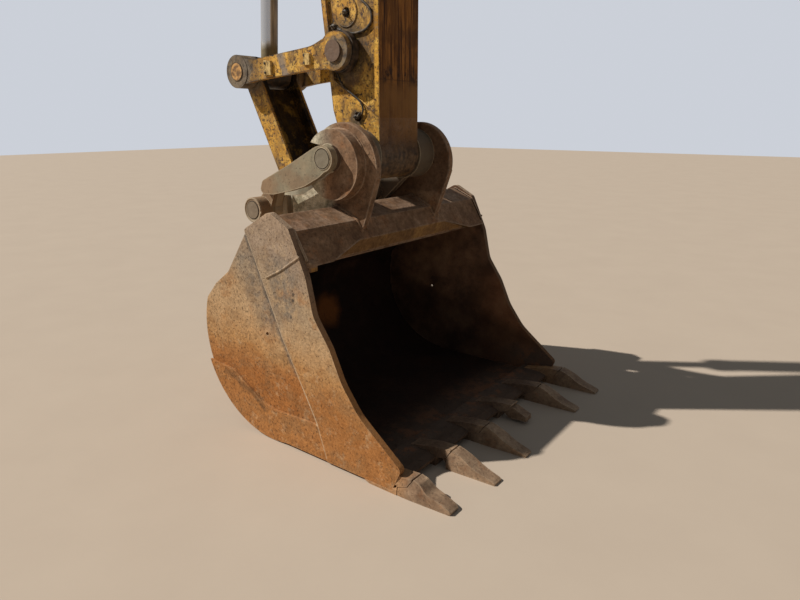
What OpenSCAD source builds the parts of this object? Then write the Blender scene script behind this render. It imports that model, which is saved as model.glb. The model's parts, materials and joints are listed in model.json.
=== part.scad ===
// Dipper arm of a crawler excavator with its bucket cylinder, bucket linkage,
// quick coupler and toothed bucket. Millimetres, Z up, X towards the machine,
// Y across the arm. The origin is the middle of the boom pin's bore.

/* [Stick] */
// Height of the boom pin over the stick pin
stick_drop = 3200; // [2600:50:3600]
// How far the boom pin stands behind the stick pin
boom_set = 150; // [80:10:220]
// Width of the stick over its side plates
stick_w = 290; // [260:5:330]
// Thickness of the stick's side plates
stick_side_t = 14; // [8:1:24]
// Thickness of the stick's belly and back plates
stick_flange_t = 32; // [12:1:36]
// How far those plates stand out past the side plates
flange_out = 17; // [5:1:25]
// Distance of the belly from the stick pin
belly_x = 117; // [105:1:135]
// Radius of the round nose at the stick pin
nose_r = 125; // [110:1:140]
// Height of the cast nose over the stick pin, at the belly
nose_top = 191; // [160:1:230]
// Tilt of the nose's top edge, which rises to the back
nose_tilt = 32; // [20:1:36]
// Height over the stick pin where the back starts to lean
back_up = 230; // [200:5:300]
// Depth behind the stick pin where the back starts to lean
back_low = 195; // [170:5:230]
// Depth behind the stick pin of the deep middle of the stick
back_deep = 430; // [360:5:460]
// Height of the deep middle over the stick pin
deep_up = 2150; // [1700:50:2300]
// Radius of the boom pin's bore
boom_bore_r = 55; // [45:1:65]
// Outer radius of the boom pin's boss
boom_boss_r = 150; // [130:5:190]
// Width of the boom pin's boss
boom_boss_w = 420; // [380:5:480]
// Height of the stick cylinder pin over the boom pin
ear_up = 780; // [650:10:900]
// How far the stick cylinder pin stands behind the boom pin
ear_set = 170; // [100:10:260]
// Radius of the stick cylinder pin's bore
ear_bore_r = 50; // [40:1:60]
// Gap between the two ears for the stick cylinder
ear_gap = 130; // [100:5:160]

/* [Linkage] */
// Height of the idler pin over the stick pin
idler_up = 510; // [450:5:580]
// How far the idler pin stands behind the stick pin
idler_back = 112; // [90:2:130]
// Idler length from pin to pin
idler_len = 752; // [700:2:800]
// Bucket link length from pin to pin
link_len = 814; // [780:2:860]
// Radius of the linkage pins
link_pin_r = 45; // [35:1:50]
// Radius of the idler pin's hubs on the stick
hub_r = 100; // [90:1:110]
// Radius of the hub's tube through the stick
hub_neck_r = 64; // [56:1:66]
// Radius of the idlers round the idler pin
idler_head_r = 92; // [80:1:100]
// Radius of the idlers round the rod end pin
idler_foot_r = 90; // [80:1:100]
// Height of the idlers' bars over the line of their pins
idler_rise = 45; // [35:1:60]
// Depth of the idlers' bars under that line
idler_fall = 68; // [50:1:80]
// How far the idler pin's ends stand out
pin_head = 10; // [5:1:30]
// Thickness of each idler
idler_t = 35; // [25:1:50]
// Boss radius of the bucket link
link_boss_r = 90; // [75:1:95]
// Width of the bucket link over its side plates
link_w = 300; // [290:2:312]
// Width of the bucket link's lower boss
link_foot_w = 410; // [390:5:420]
// Thickness of the bucket link's side plates
link_plate_t = 45; // [30:1:45]
// Half width of the bucket link's side plates
link_waist = 62; // [50:1:72]
// Thickness of the web between those plates
link_web_t = 40; // [24:2:50]
// Share of the link's length where its web starts
link_web_from = 0.36; // [0.3:0.02:0.5]

/* [Cylinder] */
// Thickness of the bracket's two plates
bracket_t = 40; // [25:1:50]
// Height of the barrel's pin under the boom pin
bracket_drop = 150; // [100:10:400]
// How far the barrel's pin stands behind the stick pin
bracket_back = 647; // [620:1:680]
// Rod radius
rod_r = 49; // [40:1:55]
// Barrel bore radius
barrel_bore_r = 75; // [65:1:80]
// Barrel outer radius
barrel_r = 92; // [86:1:98]
// Distance from the barrel's pin to the gland's face
gland_at = 1800; // [1700:10:1850]
// Width of the rod's eye
rod_eye_w = 190; // [150:5:200]
// Outer radius of the rod's eye
rod_eye_r = 88; // [80:1:95]
// Width of the barrel's eye
barrel_eye_w = 120; // [100:5:140]

/* [Coupler] */
// Distance from the stick pin to the link pin
pin_spacing = 575; // [540:5:600]
// Angle of the link pin under the horizontal, seen from the stick pin
link_pin_dip = 29.7; // [26:0.5:33]
// Radius of the stick pin
stick_pin_r = 45; // [40:1:52]
// Radius of the collars on the stick pin
collar_r = 135; // [125:1:145]
// Thickness of the coupler's inner plates
inner_t = 40; // [25:1:45]
// Thickness of the coupler's outer arms
arm_t = 40; // [25:1:45]
// Outer face of the outer arms from the middle
arm_out = 460; // [440:5:480]
// Radius of the outer arms round the stick pin
arm_eye_r = 64; // [58:1:75]
// Radius of the sleeves on the link pin
sleeve_r = 67; // [60:1:72]
// How far those sleeves reach past the outer arms
sleeve_out = 30; // [10:5:40]
// Radius of the coupler's round stubs in the bucket's hooks
stub_r = 66; // [60:1:80]

/* [Bucket] */
// Bucket width over the side doublers
bucket_w = 1600; // [1400:10:1700]
// Thickness of the side plates
side_t = 16; // [10:1:25]
// Thickness of the doublers along the mouth's edge
doubler_t = 16; // [8:1:22]
// Thickness of the rolled shell
shell_t = 22; // [14:1:30]
// Radius of the rolled heel, outside
heel_r = 495; // [470:1:510]
// Depth of the heel's centre under the stick pin
heel_down = 880; // [860:5:900]
// How far the heel's centre stands behind the stick pin
heel_back = 85; // [70:1:95]
// Thickness of the wear plates outside the heel
heel_plate_t = 12; // [8:1:15]
// Wall of the torque tube
tube_t = 20; // [14:1:26]
// Thickness of the lip
lip_t = 48; // [36:1:60]
// Front edge of the lip from the stick pin
lip_x = 712; // [690:2:730]
// Length of the lip
lip_len = 180; // [150:5:220]
// Inner face of the hinge plates from the middle
hinge_in = 300; // [290:2:320]
// Thickness of the hinge plates
hinge_t = 36; // [25:1:45]
// Radius of the hinge plates' round heads
hinge_r = 217; // [208:1:228]
// Thickness of the hook discs
disc_t = 64; // [50:1:74]
// Radius of the hook discs
disc_r = 172; // [160:1:180]
// Radius of the small drain hole in each side plate
drain_r = 9; // [6:1:12]

/* [Teeth] */
// Number of tooth stations along the lip
teeth = 6; // [4:1:7]
// The station, counted from the near side, whose tooth is lost
lost = 4; // [0:1:7]
// The station whose tooth has no cheeks
plain = 2; // [0:1:7]
// Width of a tooth at its root
tooth_w = 88; // [76:1:100]
// Width of a tooth at its tip
tip_w = 60; // [44:1:76]
// Reach of the teeth beyond the lip
tooth_reach = 316; // [280:2:340]
// Depth of a tooth at its root
tooth_h = 100; // [90:1:110]
// Width of the noses that the teeth sit on
tooth_nose_w = 60; // [40:2:66]
// How much more the near tooth is worn than the others
near_wear = 40; // [0:5:60]

/* [Grease lines] */
// Radius of the hoses
hose_r = 6; // [4:0.5:6.5]

/* [Hidden] */
$fn = 64;

// Radial play of a running pin
play = 0.05;
// Side gap between pieces that turn against each other
side_gap = 5;
// Play between pieces that are pressed or welded into each other
seat = 0.2;
// Small length by which a cut runs past a face
past = 2;

stick_pin = [boom_set, -stick_drop];
half_stick = stick_w / 2;
half_flange = half_stick + flange_out;
idler_at = [-idler_back, idler_up];
link_pin_at = pin_spacing * [-cos(link_pin_dip), -sin(link_pin_dip)];
cross_at = [-232, -222];
grease_hole_at = [-26, 195];
upper_hole_at = [-103, 696];
upper_pad_r = 68;
upper_pad_t = 4;
grease_tee_at = [-177, 633];
rod_end_at = meet(idler_at, idler_len, link_pin_at, link_len);
idler_turn = atan2(rod_end_at[1] - idler_at[1], rod_end_at[0] - idler_at[0]);
bracket_at = [-bracket_back, stick_drop - bracket_drop];
boom_at = [-boom_set, stick_drop];
ear_at = boom_at + [-ear_set, ear_up];
rod_dir = unit(rod_end_at - bracket_at);
rod_turn = atan2(rod_dir[0], -rod_dir[1]);
cylinder_len = norm(rod_end_at - bracket_at);
rod_foot = cylinder_len - link_pin_r - 14;
piston_up = 960;
rod_top = gland_at - piston_up;
piston_len = 110;
gland_len = 60;
barrel_from = 135;
pipe_r = 14;
grease_hole_r = 24;
grease_hole_deep = 30;
barrel_end_t = 40;

// Places across the arm
link_out = link_w / 2;
foot_out = link_foot_w / 2;
idler_in = foot_out;
idler_out = idler_in + idler_t;
boss_in = link_out + side_gap;
boss_out = idler_out + 3;
link_in = rod_eye_w / 2 + 2 * side_gap;
collar_in = half_flange + side_gap;
inner_in = foot_out + side_gap;
inner_out = inner_in + inner_t;
hinge_out = hinge_in + hinge_t;
disc_out = hinge_out + disc_t;
arm_in = arm_out - arm_t;
sleeve_end = arm_out + sleeve_out;
half_bucket = bucket_w / 2;
side_out = half_bucket - doubler_t;
side_in = side_out - side_t;

// Bucket outline, from the stick pin
heel_at = [-heel_back, -heel_down];
floor_z = -heel_down - heel_r;
mouth_top = [108, -284];
mouth_low = [736, -1263];
ear_top = [-17, -218];
ear_back = [-190, -312];
drain_at = [[-93, -820], [-190, -920]];
weld_line = [[-210, -180], [-192, -328], [-87, -554], [34, -822], [172, -1073], [240, -1200],
    [300, floor_z]];

// The torque tube's outline, and the same with its lower front corner cut off
tube_top = [-20, -240];
tube_front_top = [111, -299];
tube_front_low = [200, -452];
tube_under = [100, -480];
tube_back_low = [-363, -551];
tube_back_top = [-190, -335];
cut_high = [165, -383];
cut_low = [130, -460];
TUBE = [tube_top, tube_front_top, tube_front_low, tube_under, tube_back_low, tube_back_top];
TUBE_CUT = [tube_top, tube_front_top, cut_high, cut_low, tube_back_low, tube_back_top];
back_turn = 160;
back_top = heel_at + heel_r * [cos(back_turn), sin(back_turn)];
back_bend = [-466, -622];

function unit(v) = v / norm(v);

// Where circles about p and q cross, on the side away from the machine
function meet(p, rp, q, rq) =
    let (d = norm(q - p), a = (rp * rp - rq * rq + d * d) / (2 * d), h = sqrt(rp * rp - a * a),
        u = (q - p) / d)
    p + a * u + h * [u[1], -u[0]];

// Corner b between a and c, rounded to radius r with n steps
function corner(a, b, c, r, n) = r == 0 ? [b] :
    let (u = unit(a - b), v = unit(c - b), half = acos(u * v) / 2, o = b + unit(u + v) * r / sin(half),
        p = b + u * r / tan(half) - o, q = b + v * r / tan(half) - o, start = atan2(p[1], p[0]),
        turn = atan2(p[0] * q[1] - p[1] * q[0], p * q))
    [for (i = [0 : n]) o + r * [cos(start + turn * i / n), sin(start + turn * i / n)]];

// A convex outline with every side moved inwards by t
function inset(p, t) = let (count = len(p))
    [for (i = [0 : count - 1])
        let (b = p[i], u = unit(p[(i + count - 1) % count] - b), v = unit(p[(i + 1) % count] - b))
        b + unit(u + v) * t / sin(acos(u * v) / 2)];

// Closed outline through points [x, z, radius]
module rounded(points, n = 6) {
    count = len(points);
    function xz(i) = let (p = points[i % count]) [p[0], p[1]];
    polygon([for (i = [0 : count - 1]) each corner(xz(i + count - 1), xz(i), xz(i + 1), points[i][2], n)]);
}

// Two discs and what lies between their outer tangents
module strap(p, rp, q, rq) {
    turn = atan2(q[1] - p[1], q[0] - p[0]);
    lean = acos((rp - rq) / norm(q - p));
    function rim(o, r, a) = o + r * [cos(a), sin(a)];
    translate(p) circle(rp);
    translate(q) circle(rq);
    polygon([rim(p, rp, turn + lean), rim(q, rq, turn + lean), rim(q, rq, turn - lean),
        rim(p, rp, turn - lean)]);
}

// Puts what is drawn about the stick pin into the part's frame
module on_stick_pin() {
    translate([stick_pin[0], 0, stick_pin[1]]) children();
}

// Flat outlines in X and Z, each made solid from y0 to y1
module slab(y0, y1) {
    for (i = [0 : $children - 1])
        translate([0, y1, 0]) rotate([90, 0, 0]) linear_extrude(y1 - y0) children(i);
}

// The same slabs on both sides of the arm
module slabs(y0, y1) {
    for (i = [0 : $children - 1]) {
        slab(y0, y1) children(i);
        slab(-y1, -y0) children(i);
    }
}

// Slabs on one side: -1 is the left side, 1 the right
module side_slab(side, y0, y1) {
    for (i = [0 : $children - 1])
        slab(min(side * y0, side * y1), max(side * y0, side * y1)) children(i);
}

// Round bar across the arm at point p
module bar(p, r, y0, y1) {
    slab(y0, y1) translate(p) circle(r);
}

module bars(p, r, y0, y1) {
    bar(p, r, y0, y1);
    bar(p, r, -y1, -y0);
}

// Height of the nose's top edge, and depth of the back over the nose
function nose_line(x) = nose_top + (belly_x - x) * tan(nose_tilt);
back_lean = (back_deep - back_low) / (deep_up - back_up);
nose_back_up = (nose_top + (belly_x + back_low - back_lean * back_up) * tan(nose_tilt))
    / (1 - back_lean * tan(nose_tilt));
nose_back = -back_low - back_lean * (nose_back_up - back_up);

// Side outline of the whole stick above its cast nose
module stick_outline(inset = 0) {
    rounded([
        [belly_x - inset, nose_line(belly_x - inset), 0],
        [belly_x - inset, boom_at[1] + 120, 220],
        [ear_at[0] + 150 - inset, ear_at[1] - 120, 60],
        [ear_at[0] - 130 + inset, ear_at[1] - 120, 60],
        [-back_deep + inset, boom_at[1] + 130, 200],
        [-back_deep + inset, deep_up, 500],
        [nose_back + inset, nose_line(nose_back + inset), 0],
    ], 10);
}

module stick_side(side) {
    color("#b98f24") on_stick_pin() difference() {
        union() {
            side_slab(side, half_stick - stick_side_t, half_stick) stick_outline(stick_flange_t);
            side_slab(side, half_stick - past, half_stick + upper_pad_t)
                translate(upper_hole_at) circle(upper_pad_r);
        }
        bar(idler_at, hub_neck_r + seat, -half_stick - past, half_stick + past);
        bar(boom_at, boom_boss_r + seat, -half_stick - past, half_stick + past);
        bar(upper_hole_at, grease_hole_r, -half_stick - 2 * upper_pad_t, half_stick + 2 * upper_pad_t);
    }
}

module stick_side_left() {
    stick_side(-1);
}

module stick_side_right() {
    stick_side(1);
}

// Plate that follows the outline between the side plates, kept where zone covers it
module stick_flange() {
    color("#6d5138") on_stick_pin() intersection() {
        slab(-half_flange, half_flange) difference() {
            stick_outline();
            stick_outline(stick_flange_t);
        }
        slab(-half_flange - past, half_flange + past) children();
    }
}

module stick_belly() {
    stick_flange() translate([-boom_set, nose_top]) square([1000, stick_drop + ear_up - nose_top - 150]);
}

module stick_back() {
    stick_flange() translate([-boom_set - 1000, nose_top]) square([1000, stick_drop - nose_top + 100]);
}

// Solid casting that carries the stick pin
module stick_nose() {
    color("#7b6134") on_stick_pin() difference() {
        slab(-half_flange, half_flange) {
            circle(nose_r);
            rounded([[nose_r, 0, 0], [belly_x, 60, 60], [belly_x, nose_top, 0], [nose_back, nose_back_up, 0],
                [-back_low, back_up, 0], [-nose_r - 12, 60, 90], [-nose_r, 0, 0]]);
        }
        bar([0, 0], stick_pin_r + play, -half_flange - past, half_flange + past);
        bars(grease_hole_at, grease_hole_r, half_flange - grease_hole_deep, half_flange + past);
    }
}

module boom_boss() {
    color("#b98f24") on_stick_pin() difference() {
        bar(boom_at, boom_boss_r, -boom_boss_w / 2, boom_boss_w / 2);
        bar(boom_at, boom_bore_r, -boom_boss_w / 2 - past, boom_boss_w / 2 + past);
    }
}

module idler_boss() {
    color("#3d352c") on_stick_pin() difference() {
        union() {
            bar(idler_at, hub_neck_r, -half_flange - past, half_flange + past);
            bars(idler_at, hub_r, half_flange, idler_in - side_gap);
        }
        bar(idler_at, link_pin_r + play, -idler_in, idler_in);
    }
}

// The two ears for the stick cylinder
module stick_ears() {
    color("#b98f24") on_stick_pin() difference() {
        slabs(ear_gap / 2, half_stick - stick_side_t)
            strap(ear_at, 2 * ear_bore_r, ear_at + [20, -2.3 * 2 * ear_bore_r], 2.2 * ear_bore_r);
        bar(ear_at, ear_bore_r, -half_stick, half_stick);
    }
}

module cylinder_bracket() {
    color("#b98f24") on_stick_pin() difference() {
        slabs(barrel_eye_w / 2 + side_gap, barrel_eye_w / 2 + side_gap + bracket_t) difference() {
            strap(bracket_at, 90, [-back_deep, bracket_at[1]], 115);
            translate([-back_deep, bracket_at[1] - 400]) square([400, 800]);
        }
        bar(bracket_at, link_pin_r + play, -half_stick, half_stick);
    }
}

module idler(side) {
    color("#c19a2b") on_stick_pin() difference() {
        union() {
            side_slab(side, idler_in, idler_out) {
                translate(idler_at) circle(idler_head_r);
                translate(idler_at) rotate(idler_turn) rounded([[0, -idler_head_r + 8, 0],
                    [150, -idler_rise, 300], [idler_len - 150, -idler_rise, 300],
                    [idler_len, -idler_foot_r + 15, 0], [idler_len, idler_foot_r - 15, 0],
                    [idler_len - 150, idler_fall, 300], [150, idler_fall, 300], [0, idler_head_r - 8, 0]]);
            }
            side_slab(side, boss_in, boss_out) translate(rod_end_at) circle(idler_foot_r);
        }
        bar(idler_at, link_pin_r + seat, -idler_out - past, idler_out + past);
        bar(rod_end_at, link_pin_r + seat, -boss_out - past, boss_out + past);
    }
}

module idler_left() {
    idler(-1);
}

module idler_right() {
    idler(1);
}

module idler_pin() {
    color("#4a3a2c") on_stick_pin() {
        bar(idler_at, link_pin_r, -idler_out, idler_out);
        bars(idler_at, link_pin_r + 6, idler_out, idler_out + pin_head);
    }
}

// The pin of idlers and link, open in the middle for the rod's eye
module rod_end_pin() {
    color("#4a3a2c") on_stick_pin() {
        bars(rod_end_at, link_pin_r, link_in, boss_out);
        bars(rod_end_at, link_pin_r + 5, boss_out, boss_out + 4);
    }
}

module bucket_link() {
    web_start = rod_end_at + (link_pin_at - rod_end_at) * link_web_from;
    color("#a9842a") on_stick_pin() difference() {
        union() {
            bars(rod_end_at, link_boss_r, link_in, link_out);
            slabs(link_out - link_plate_t, link_out)
                strap(rod_end_at, link_waist, link_pin_at, link_waist);
            bar(link_pin_at, link_boss_r, -foot_out, foot_out);
            slab(-link_out + link_plate_t / 2, link_out - link_plate_t / 2)
                strap(web_start, link_web_t / 2, link_pin_at, link_web_t / 2);
        }
        bars(rod_end_at, link_pin_r + play, link_in - past, link_out + past);
        bar(link_pin_at, link_pin_r + seat, -foot_out - past, foot_out + past);
    }
}

// Middle of the link's lower pin, which stays in the link
module link_core_pin() {
    color("#4a3a2c") on_stick_pin() bar(link_pin_at, link_pin_r, -foot_out, foot_out);
}

// Puts what is drawn along -Z from the barrel's pin onto the cylinder's line
module on_cylinder() {
    on_stick_pin() translate([bracket_at[0], 0, bracket_at[1]]) rotate([0, -rod_turn, 0]) children();
}

module barrel() {
    color("#c19a2b") on_cylinder() difference() {
        translate([0, 0, -gland_at + gland_len])
            cylinder(r = barrel_r, h = gland_at - gland_len - barrel_from);
        translate([0, 0, -gland_at + gland_len - past])
            cylinder(r = barrel_bore_r, h = gland_at - gland_len - barrel_from - barrel_end_t + past);
    }
}

module barrel_eye() {
    color("#c19a2b") on_cylinder() difference() {
        union() {
            bar([0, 0], 88, -barrel_eye_w / 2, barrel_eye_w / 2);
            translate([-barrel_eye_w / 2, -barrel_eye_w / 2, -barrel_from])
                cube([barrel_eye_w, barrel_eye_w, 100]);
        }
        bar([0, 0], link_pin_r + play, -barrel_eye_w, barrel_eye_w);
    }
}

module gland() {
    color("#3a3a38") on_cylinder() difference() {
        translate([0, 0, -gland_at]) cylinder(r = barrel_r + 8, h = gland_len);
        translate([0, 0, -gland_at - past]) cylinder(r = rod_r + 0.3, h = gland_len + 2 * past);
    }
}

module bracket_pin() {
    half = barrel_eye_w / 2 + side_gap + bracket_t + 12;
    color("#4a3a2c") on_stick_pin() bar(bracket_at, link_pin_r, -half, half);
}

module rod() {
    color("#b9bcc0") on_cylinder() {
        translate([0, 0, -rod_foot]) cylinder(r = rod_r, h = rod_foot - rod_top);
        translate([0, 0, -rod_top - piston_len / 2]) cylinder(r = barrel_bore_r - 0.5, h = piston_len);
    }
}

module rod_eye() {
    color("#3d352c") on_cylinder() difference() {
        bar([0, -cylinder_len], rod_eye_r, -rod_eye_w / 2, rod_eye_w / 2);
        bar([0, -cylinder_len], link_pin_r + seat, -rod_eye_w, rod_eye_w);
        translate([0, 0, -rod_foot]) cylinder(r = rod_r + seat, h = 2 * rod_eye_r);
    }
}

// Piece of the rod end pin that stays in the rod's eye
module rod_core_pin() {
    color("#4a3a2c") on_cylinder() bar([0, -cylinder_len], link_pin_r, -rod_eye_w / 2, rod_eye_w / 2);
}

// Inner plates of the coupler, from the stick pin to the link pin
module coupler_frame() {
    color("#5e645b") on_stick_pin() {
        difference() {
            slabs(inner_in, inner_out) {
                circle(collar_r - 14);
                translate(link_pin_at) circle(sleeve_r + 11);
                rounded([[-50, 100, 0], [link_pin_at[0] - 26, link_pin_at[1] + 70, 0],
                    [link_pin_at[0] + 29, link_pin_at[1] - 65, 0], [-205, -312, 85], [18, -112, 0]]);
            }
            bar([0, 0], collar_r + seat, -arm_out, arm_out);
            bar(link_pin_at, link_pin_r + seat, -arm_out, arm_out);
        }
        bar(cross_at, 60, -inner_in, inner_in);
        difference() {
            slabs(hinge_in, hinge_out) translate(link_pin_at)
                rounded([[98, 70, 8], [104, -78, 8], [-24, -96, 30], [-66, 10, 30], [-50, 70, 20]]);
            bar(link_pin_at, sleeve_r + seat, -arm_out, arm_out);
        }
    }
}

module coupler_collars() {
    color("#5e645b") on_stick_pin() difference() {
        bars([0, 0], collar_r, collar_in, hinge_in);
        bar([0, 0], stick_pin_r + seat, -arm_out, arm_out);
    }
}

// Round stubs that the bucket's hooks close on
module coupler_stubs() {
    color("#33302c") on_stick_pin() difference() {
        bars([0, 0], stub_r, hinge_in, arm_in);
        bar([0, 0], stick_pin_r + seat, -arm_out, arm_out);
    }
}

// Outer arm with a free tip over the sleeve of the link pin, which a web behind the arm joins to it
module coupler_arm(side) {
    arm_tip = link_pin_at + [50, 112];
    color("#5e645b") on_stick_pin() difference() {
        union() {
            side_slab(side, arm_in, arm_out) {
                circle(arm_eye_r);
                rounded([[0, arm_eye_r - 0.5, 0], [-30, arm_eye_r - 1, 150], [-245, -41, 200],
                    [arm_tip[0] + 6, arm_tip[1] + 45, 26], [arm_tip[0] - 22, arm_tip[1] - 22, 24],
                    [-366, -196, 80], [-250, -172, 150], [-136, -142, 150], [-30, -92, 100],
                    [14, -arm_eye_r + 3, 0]]);
            }
            side_slab(side, inner_out, sleeve_end) translate(link_pin_at) circle(sleeve_r);
            side_slab(side, hinge_out + side_gap, arm_in)
                strap(link_pin_at, sleeve_r - 12, arm_tip + [30, 4], 26);
        }
        bar([0, 0], stick_pin_r + seat, -arm_out - past, arm_out + past);
        bar(link_pin_at, link_pin_r + seat, -sleeve_end - past, sleeve_end + past);
    }
}

module coupler_arm_left() {
    coupler_arm(-1);
}

module coupler_arm_right() {
    coupler_arm(1);
}

module stick_pin() {
    color("#4a3a2c") on_stick_pin() bar([0, 0], stick_pin_r, -arm_out - 3, arm_out + 3);
}

// The coupler's lower pin, open in the middle for the bucket link
module link_pin() {
    color("#4a3a2c") on_stick_pin() bars(link_pin_at, link_pin_r, inner_in, sleeve_end + 3);
}

// Where the coupler's stub enters the hook, open away from the machine
module hook_mouth() {
    circle(stub_r + seat);
    rounded([[0, stub_r + seat, 0], [0, -stub_r - seat, 0], [-60, -104, 40], [-160, -142, 60],
        [-270, -200, 60], [-700, -250, 0], [-700, 130, 0], [-150, 76, 0], [-70, stub_r - 4, 60]]);
}

// Hook plate on the torque tube, with a round head and a tail that reaches back under the coupler
module hinge_plate(side) {
    color("#564a40") on_stick_pin() difference() {
        side_slab(side, hinge_in, hinge_out) {
            translate([20, -47]) circle(hinge_r, $fn = 96);
            rounded([[236, -90, 0], [150, -330, 15], [60, -420, 0], [-330, -540, 0], [-352, -440, 30],
                [-352, -205, 10], [-150, -110, 0], [0, -60, 0]]);
        }
        slabs(hinge_in - past, hinge_out + past) {
            polygon(TUBE);
            hook_mouth();
        }
    }
}

module hinge_plate_left() {
    hinge_plate(-1);
}

module hinge_plate_right() {
    hinge_plate(1);
}

module hook_discs() {
    color("#564a40") on_stick_pin() difference() {
        slabs(hinge_out, disc_out) translate([0, -33]) circle(disc_r, $fn = 96);
        slabs(hinge_out - past, disc_out + past) hook_mouth();
    }
}

// Closed box whose lower front corner is scalloped between the hinge plates
module torque_tube() {
    color("#4d3b2d") on_stick_pin() difference() {
        slab(-side_in, side_in) polygon(TUBE);
        slab(-side_in - past, side_in + past) polygon(inset(TUBE_CUT, tube_t));
        intersection() {
            slab(-side_in, side_in) polygon([cut_high + 0.3 * (cut_high - cut_low), cut_low,
                [tube_under[0], cut_low[1] - 6], [tube_under[0], tube_back_low[1]],
                [2 * tube_front_low[0], tube_back_low[1]], [2 * tube_front_low[0], cut_high[1] + 60]]);
            translate([-past, 0, 0]) rotate([90, 0, 90]) linear_extrude(3 * tube_front_low[0]) scallop();
        }
    }
}

// Arch of the cut-off corner, across the bucket
module scallop() {
    foot = 2.25 * hinge_in;
    shoulder = 1.13 * hinge_in;
    top = cut_high[1] + 5;
    low = tube_front_low[1] - 18;
    rounded([[-foot, low, 0], [-shoulder, top, 200], [shoulder, top, 200], [foot, low, 0],
        [foot, tube_back_low[1] - 60, 0], [-foot, tube_back_low[1] - 60, 0]]);
}

module ring(p, r0, r1, a, b) {
    far = 2 * r1;
    translate(p) intersection() {
        difference() {
            circle(r1, $fn = 128);
            circle(r0, $fn = 128);
        }
        polygon([[0, 0], for (i = [0 : 4]) far * [cos(a + (b - a) * i / 4), sin(a + (b - a) * i / 4)]]);
    }
}

// Rolled shell from the lip round the heel to the torque tube
module shell() {
    inner_top = heel_at + (heel_r - shell_t) * [cos(back_turn), sin(back_turn)];
    inside_ring = heel_at + (heel_r - shell_t / 2) * [cos(back_turn + 3), sin(back_turn + 3)];
    inner_bend = back_bend + shell_t * [0.48, -0.9];
    color("#5a3a28") on_stick_pin() slab(-side_in, side_in) {
        ring(heel_at, heel_r - shell_t, heel_r, back_turn, 270);
        translate([heel_at[0], floor_z]) square([lip_x - lip_len - heel_at[0], shell_t]);
        polygon([back_top, inside_ring, inner_top, inner_bend, tube_back_low + [14, -shell_t],
            tube_back_low + [16, 0.2], tube_back_low, back_bend]);
    }
}

// Outline of a bucket side, from its ear down the mouth and round the heel
module side_outline() {
    steps = 24;
    rounded([[ear_top[0], ear_top[1], 40], [mouth_top[0], mouth_top[1], 20], [202, -486, 200],
        [243, -668, 120], [334, -798, 200], [404, -950, 300], [500, -1078, 300],
        [mouth_low[0], mouth_low[1], 25],
        [lip_x - 25, floor_z, 0],
        for (i = [0 : steps]) let (a = 270 - (270 - back_turn) * i / steps)
            [heel_at[0] + heel_r * cos(a), heel_at[1] + heel_r * sin(a), 0],
        [back_bend[0], back_bend[1], 60], [tube_back_low[0], tube_back_low[1], 60],
        [ear_back[0], ear_back[1], 80]]);
}

module side_plate(side) {
    color("#6b4f39") on_stick_pin() difference() {
        side_slab(side, side_in, side_out) side_outline();
        bar(drain_at[side < 0 ? 0 : 1], drain_r, -half_bucket, half_bucket);
    }
}

module side_plate_left() {
    side_plate(-1);
}

module side_plate_right() {
    side_plate(1);
}

// Doubler between the mouth's edge and the weld line behind it
module side_doubler(side) {
    color("#7a4c2c") on_stick_pin() side_slab(side, side_out, half_bucket) intersection() {
        side_outline();
        before_weld();
    }
}

// What lies in front of the weld line on a side plate
module before_weld() {
    polygon([each weld_line, [2 * lip_x, floor_z], [2 * lip_x, weld_line[0][1]]]);
}

// Wear plates on the outside of the heel, under the doublers' weld lines
module heel_plates() {
    color("#80491f") on_stick_pin() slabs(side_out, side_out + heel_plate_t) difference() {
        intersection() {
            union() {
                side_outline();
                translate(heel_at) circle(heel_r + 9, $fn = 128);
            }
            rounded([[-700, -1040, 0], [-516, -1062, 0], [-358, -1072, 60], [-164, -1188, 60],
                [-61, -1213, 100], [320, -1200, 0], [320, floor_z - 40, 0], [-700, floor_z - 40, 0]]);
        }
        before_weld();
    }
}

module side_doubler_left() {
    side_doubler(-1);
}

module side_doubler_right() {
    side_doubler(1);
}

// Places on the lip and the teeth, from its front edge and the floor's underside
function on_lip(points) = [for (p = points) [lip_x + p[0], floor_z + p[1], len(p) > 2 ? p[2] : 0]];

module lip() {
    color("#6a4a36") on_stick_pin() slab(-side_in, side_in)
        rounded(on_lip([[-lip_len, 0], [-60, 0], [0, 22], [0, 34], [-40, lip_t], [-lip_len, lip_t]]));
}

function station(i) = (half_bucket - tooth_w / 2 + 2) * (2 * i / (teeth - 1) - 1);

// Height of a tooth's top over the floor's underside, and of its cheeks
tooth_top = tooth_h - 12;
cheek = tooth_top - 42;

// What lies between two outlines that stand across the teeth, chamfered at the top
module tooth_block(half, from, to) {
    translate([lip_x + from, 0, floor_z]) rotate([90, 0, 90]) linear_extrude(to - from)
        polygon([[-half, -20], [half, -20], [half, 12], [half - 8, 60], [half - 14, tooth_h],
            [-half + 14, tooth_h], [-half + 8, 60], [-half, 12]]);
}

module tooth_nose(grow) {
    nose = [[30, 30], [56, 4], [160, 8], [160, 34], [88, tooth_top - 22], [30, tooth_top - 22]];
    slab(-tooth_nose_w / 2 - grow, tooth_nose_w / 2 + grow)
        translate([lip_x, floor_z]) polygon(inset(nose, -grow));
}

module tooth_adapters() {
    color("#5d4535") on_stick_pin() difference() {
        for (i = [0 : teeth - 1]) translate([0, station(i), 0]) {
            tooth_nose(0);
            intersection() {
                slab(-tooth_w, tooth_w) rounded(on_lip([[-150, lip_t], [-22, tooth_top - 12, 60],
                    [78, tooth_top - 3, 4], [54, cheek, 0], [4, cheek - 17, 0], [2, -12, 0], [-150, -12, 6],
                    [-lip_len, 0], [-60, 0], [0, 22], [0, 34], [-40, lip_t]]));
                tooth_block(tooth_w / 2 + 2, -lip_len - past, 90);
            }
        }
        slabs(side_in, half_bucket + tooth_w) side_outline();
    }
}

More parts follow.
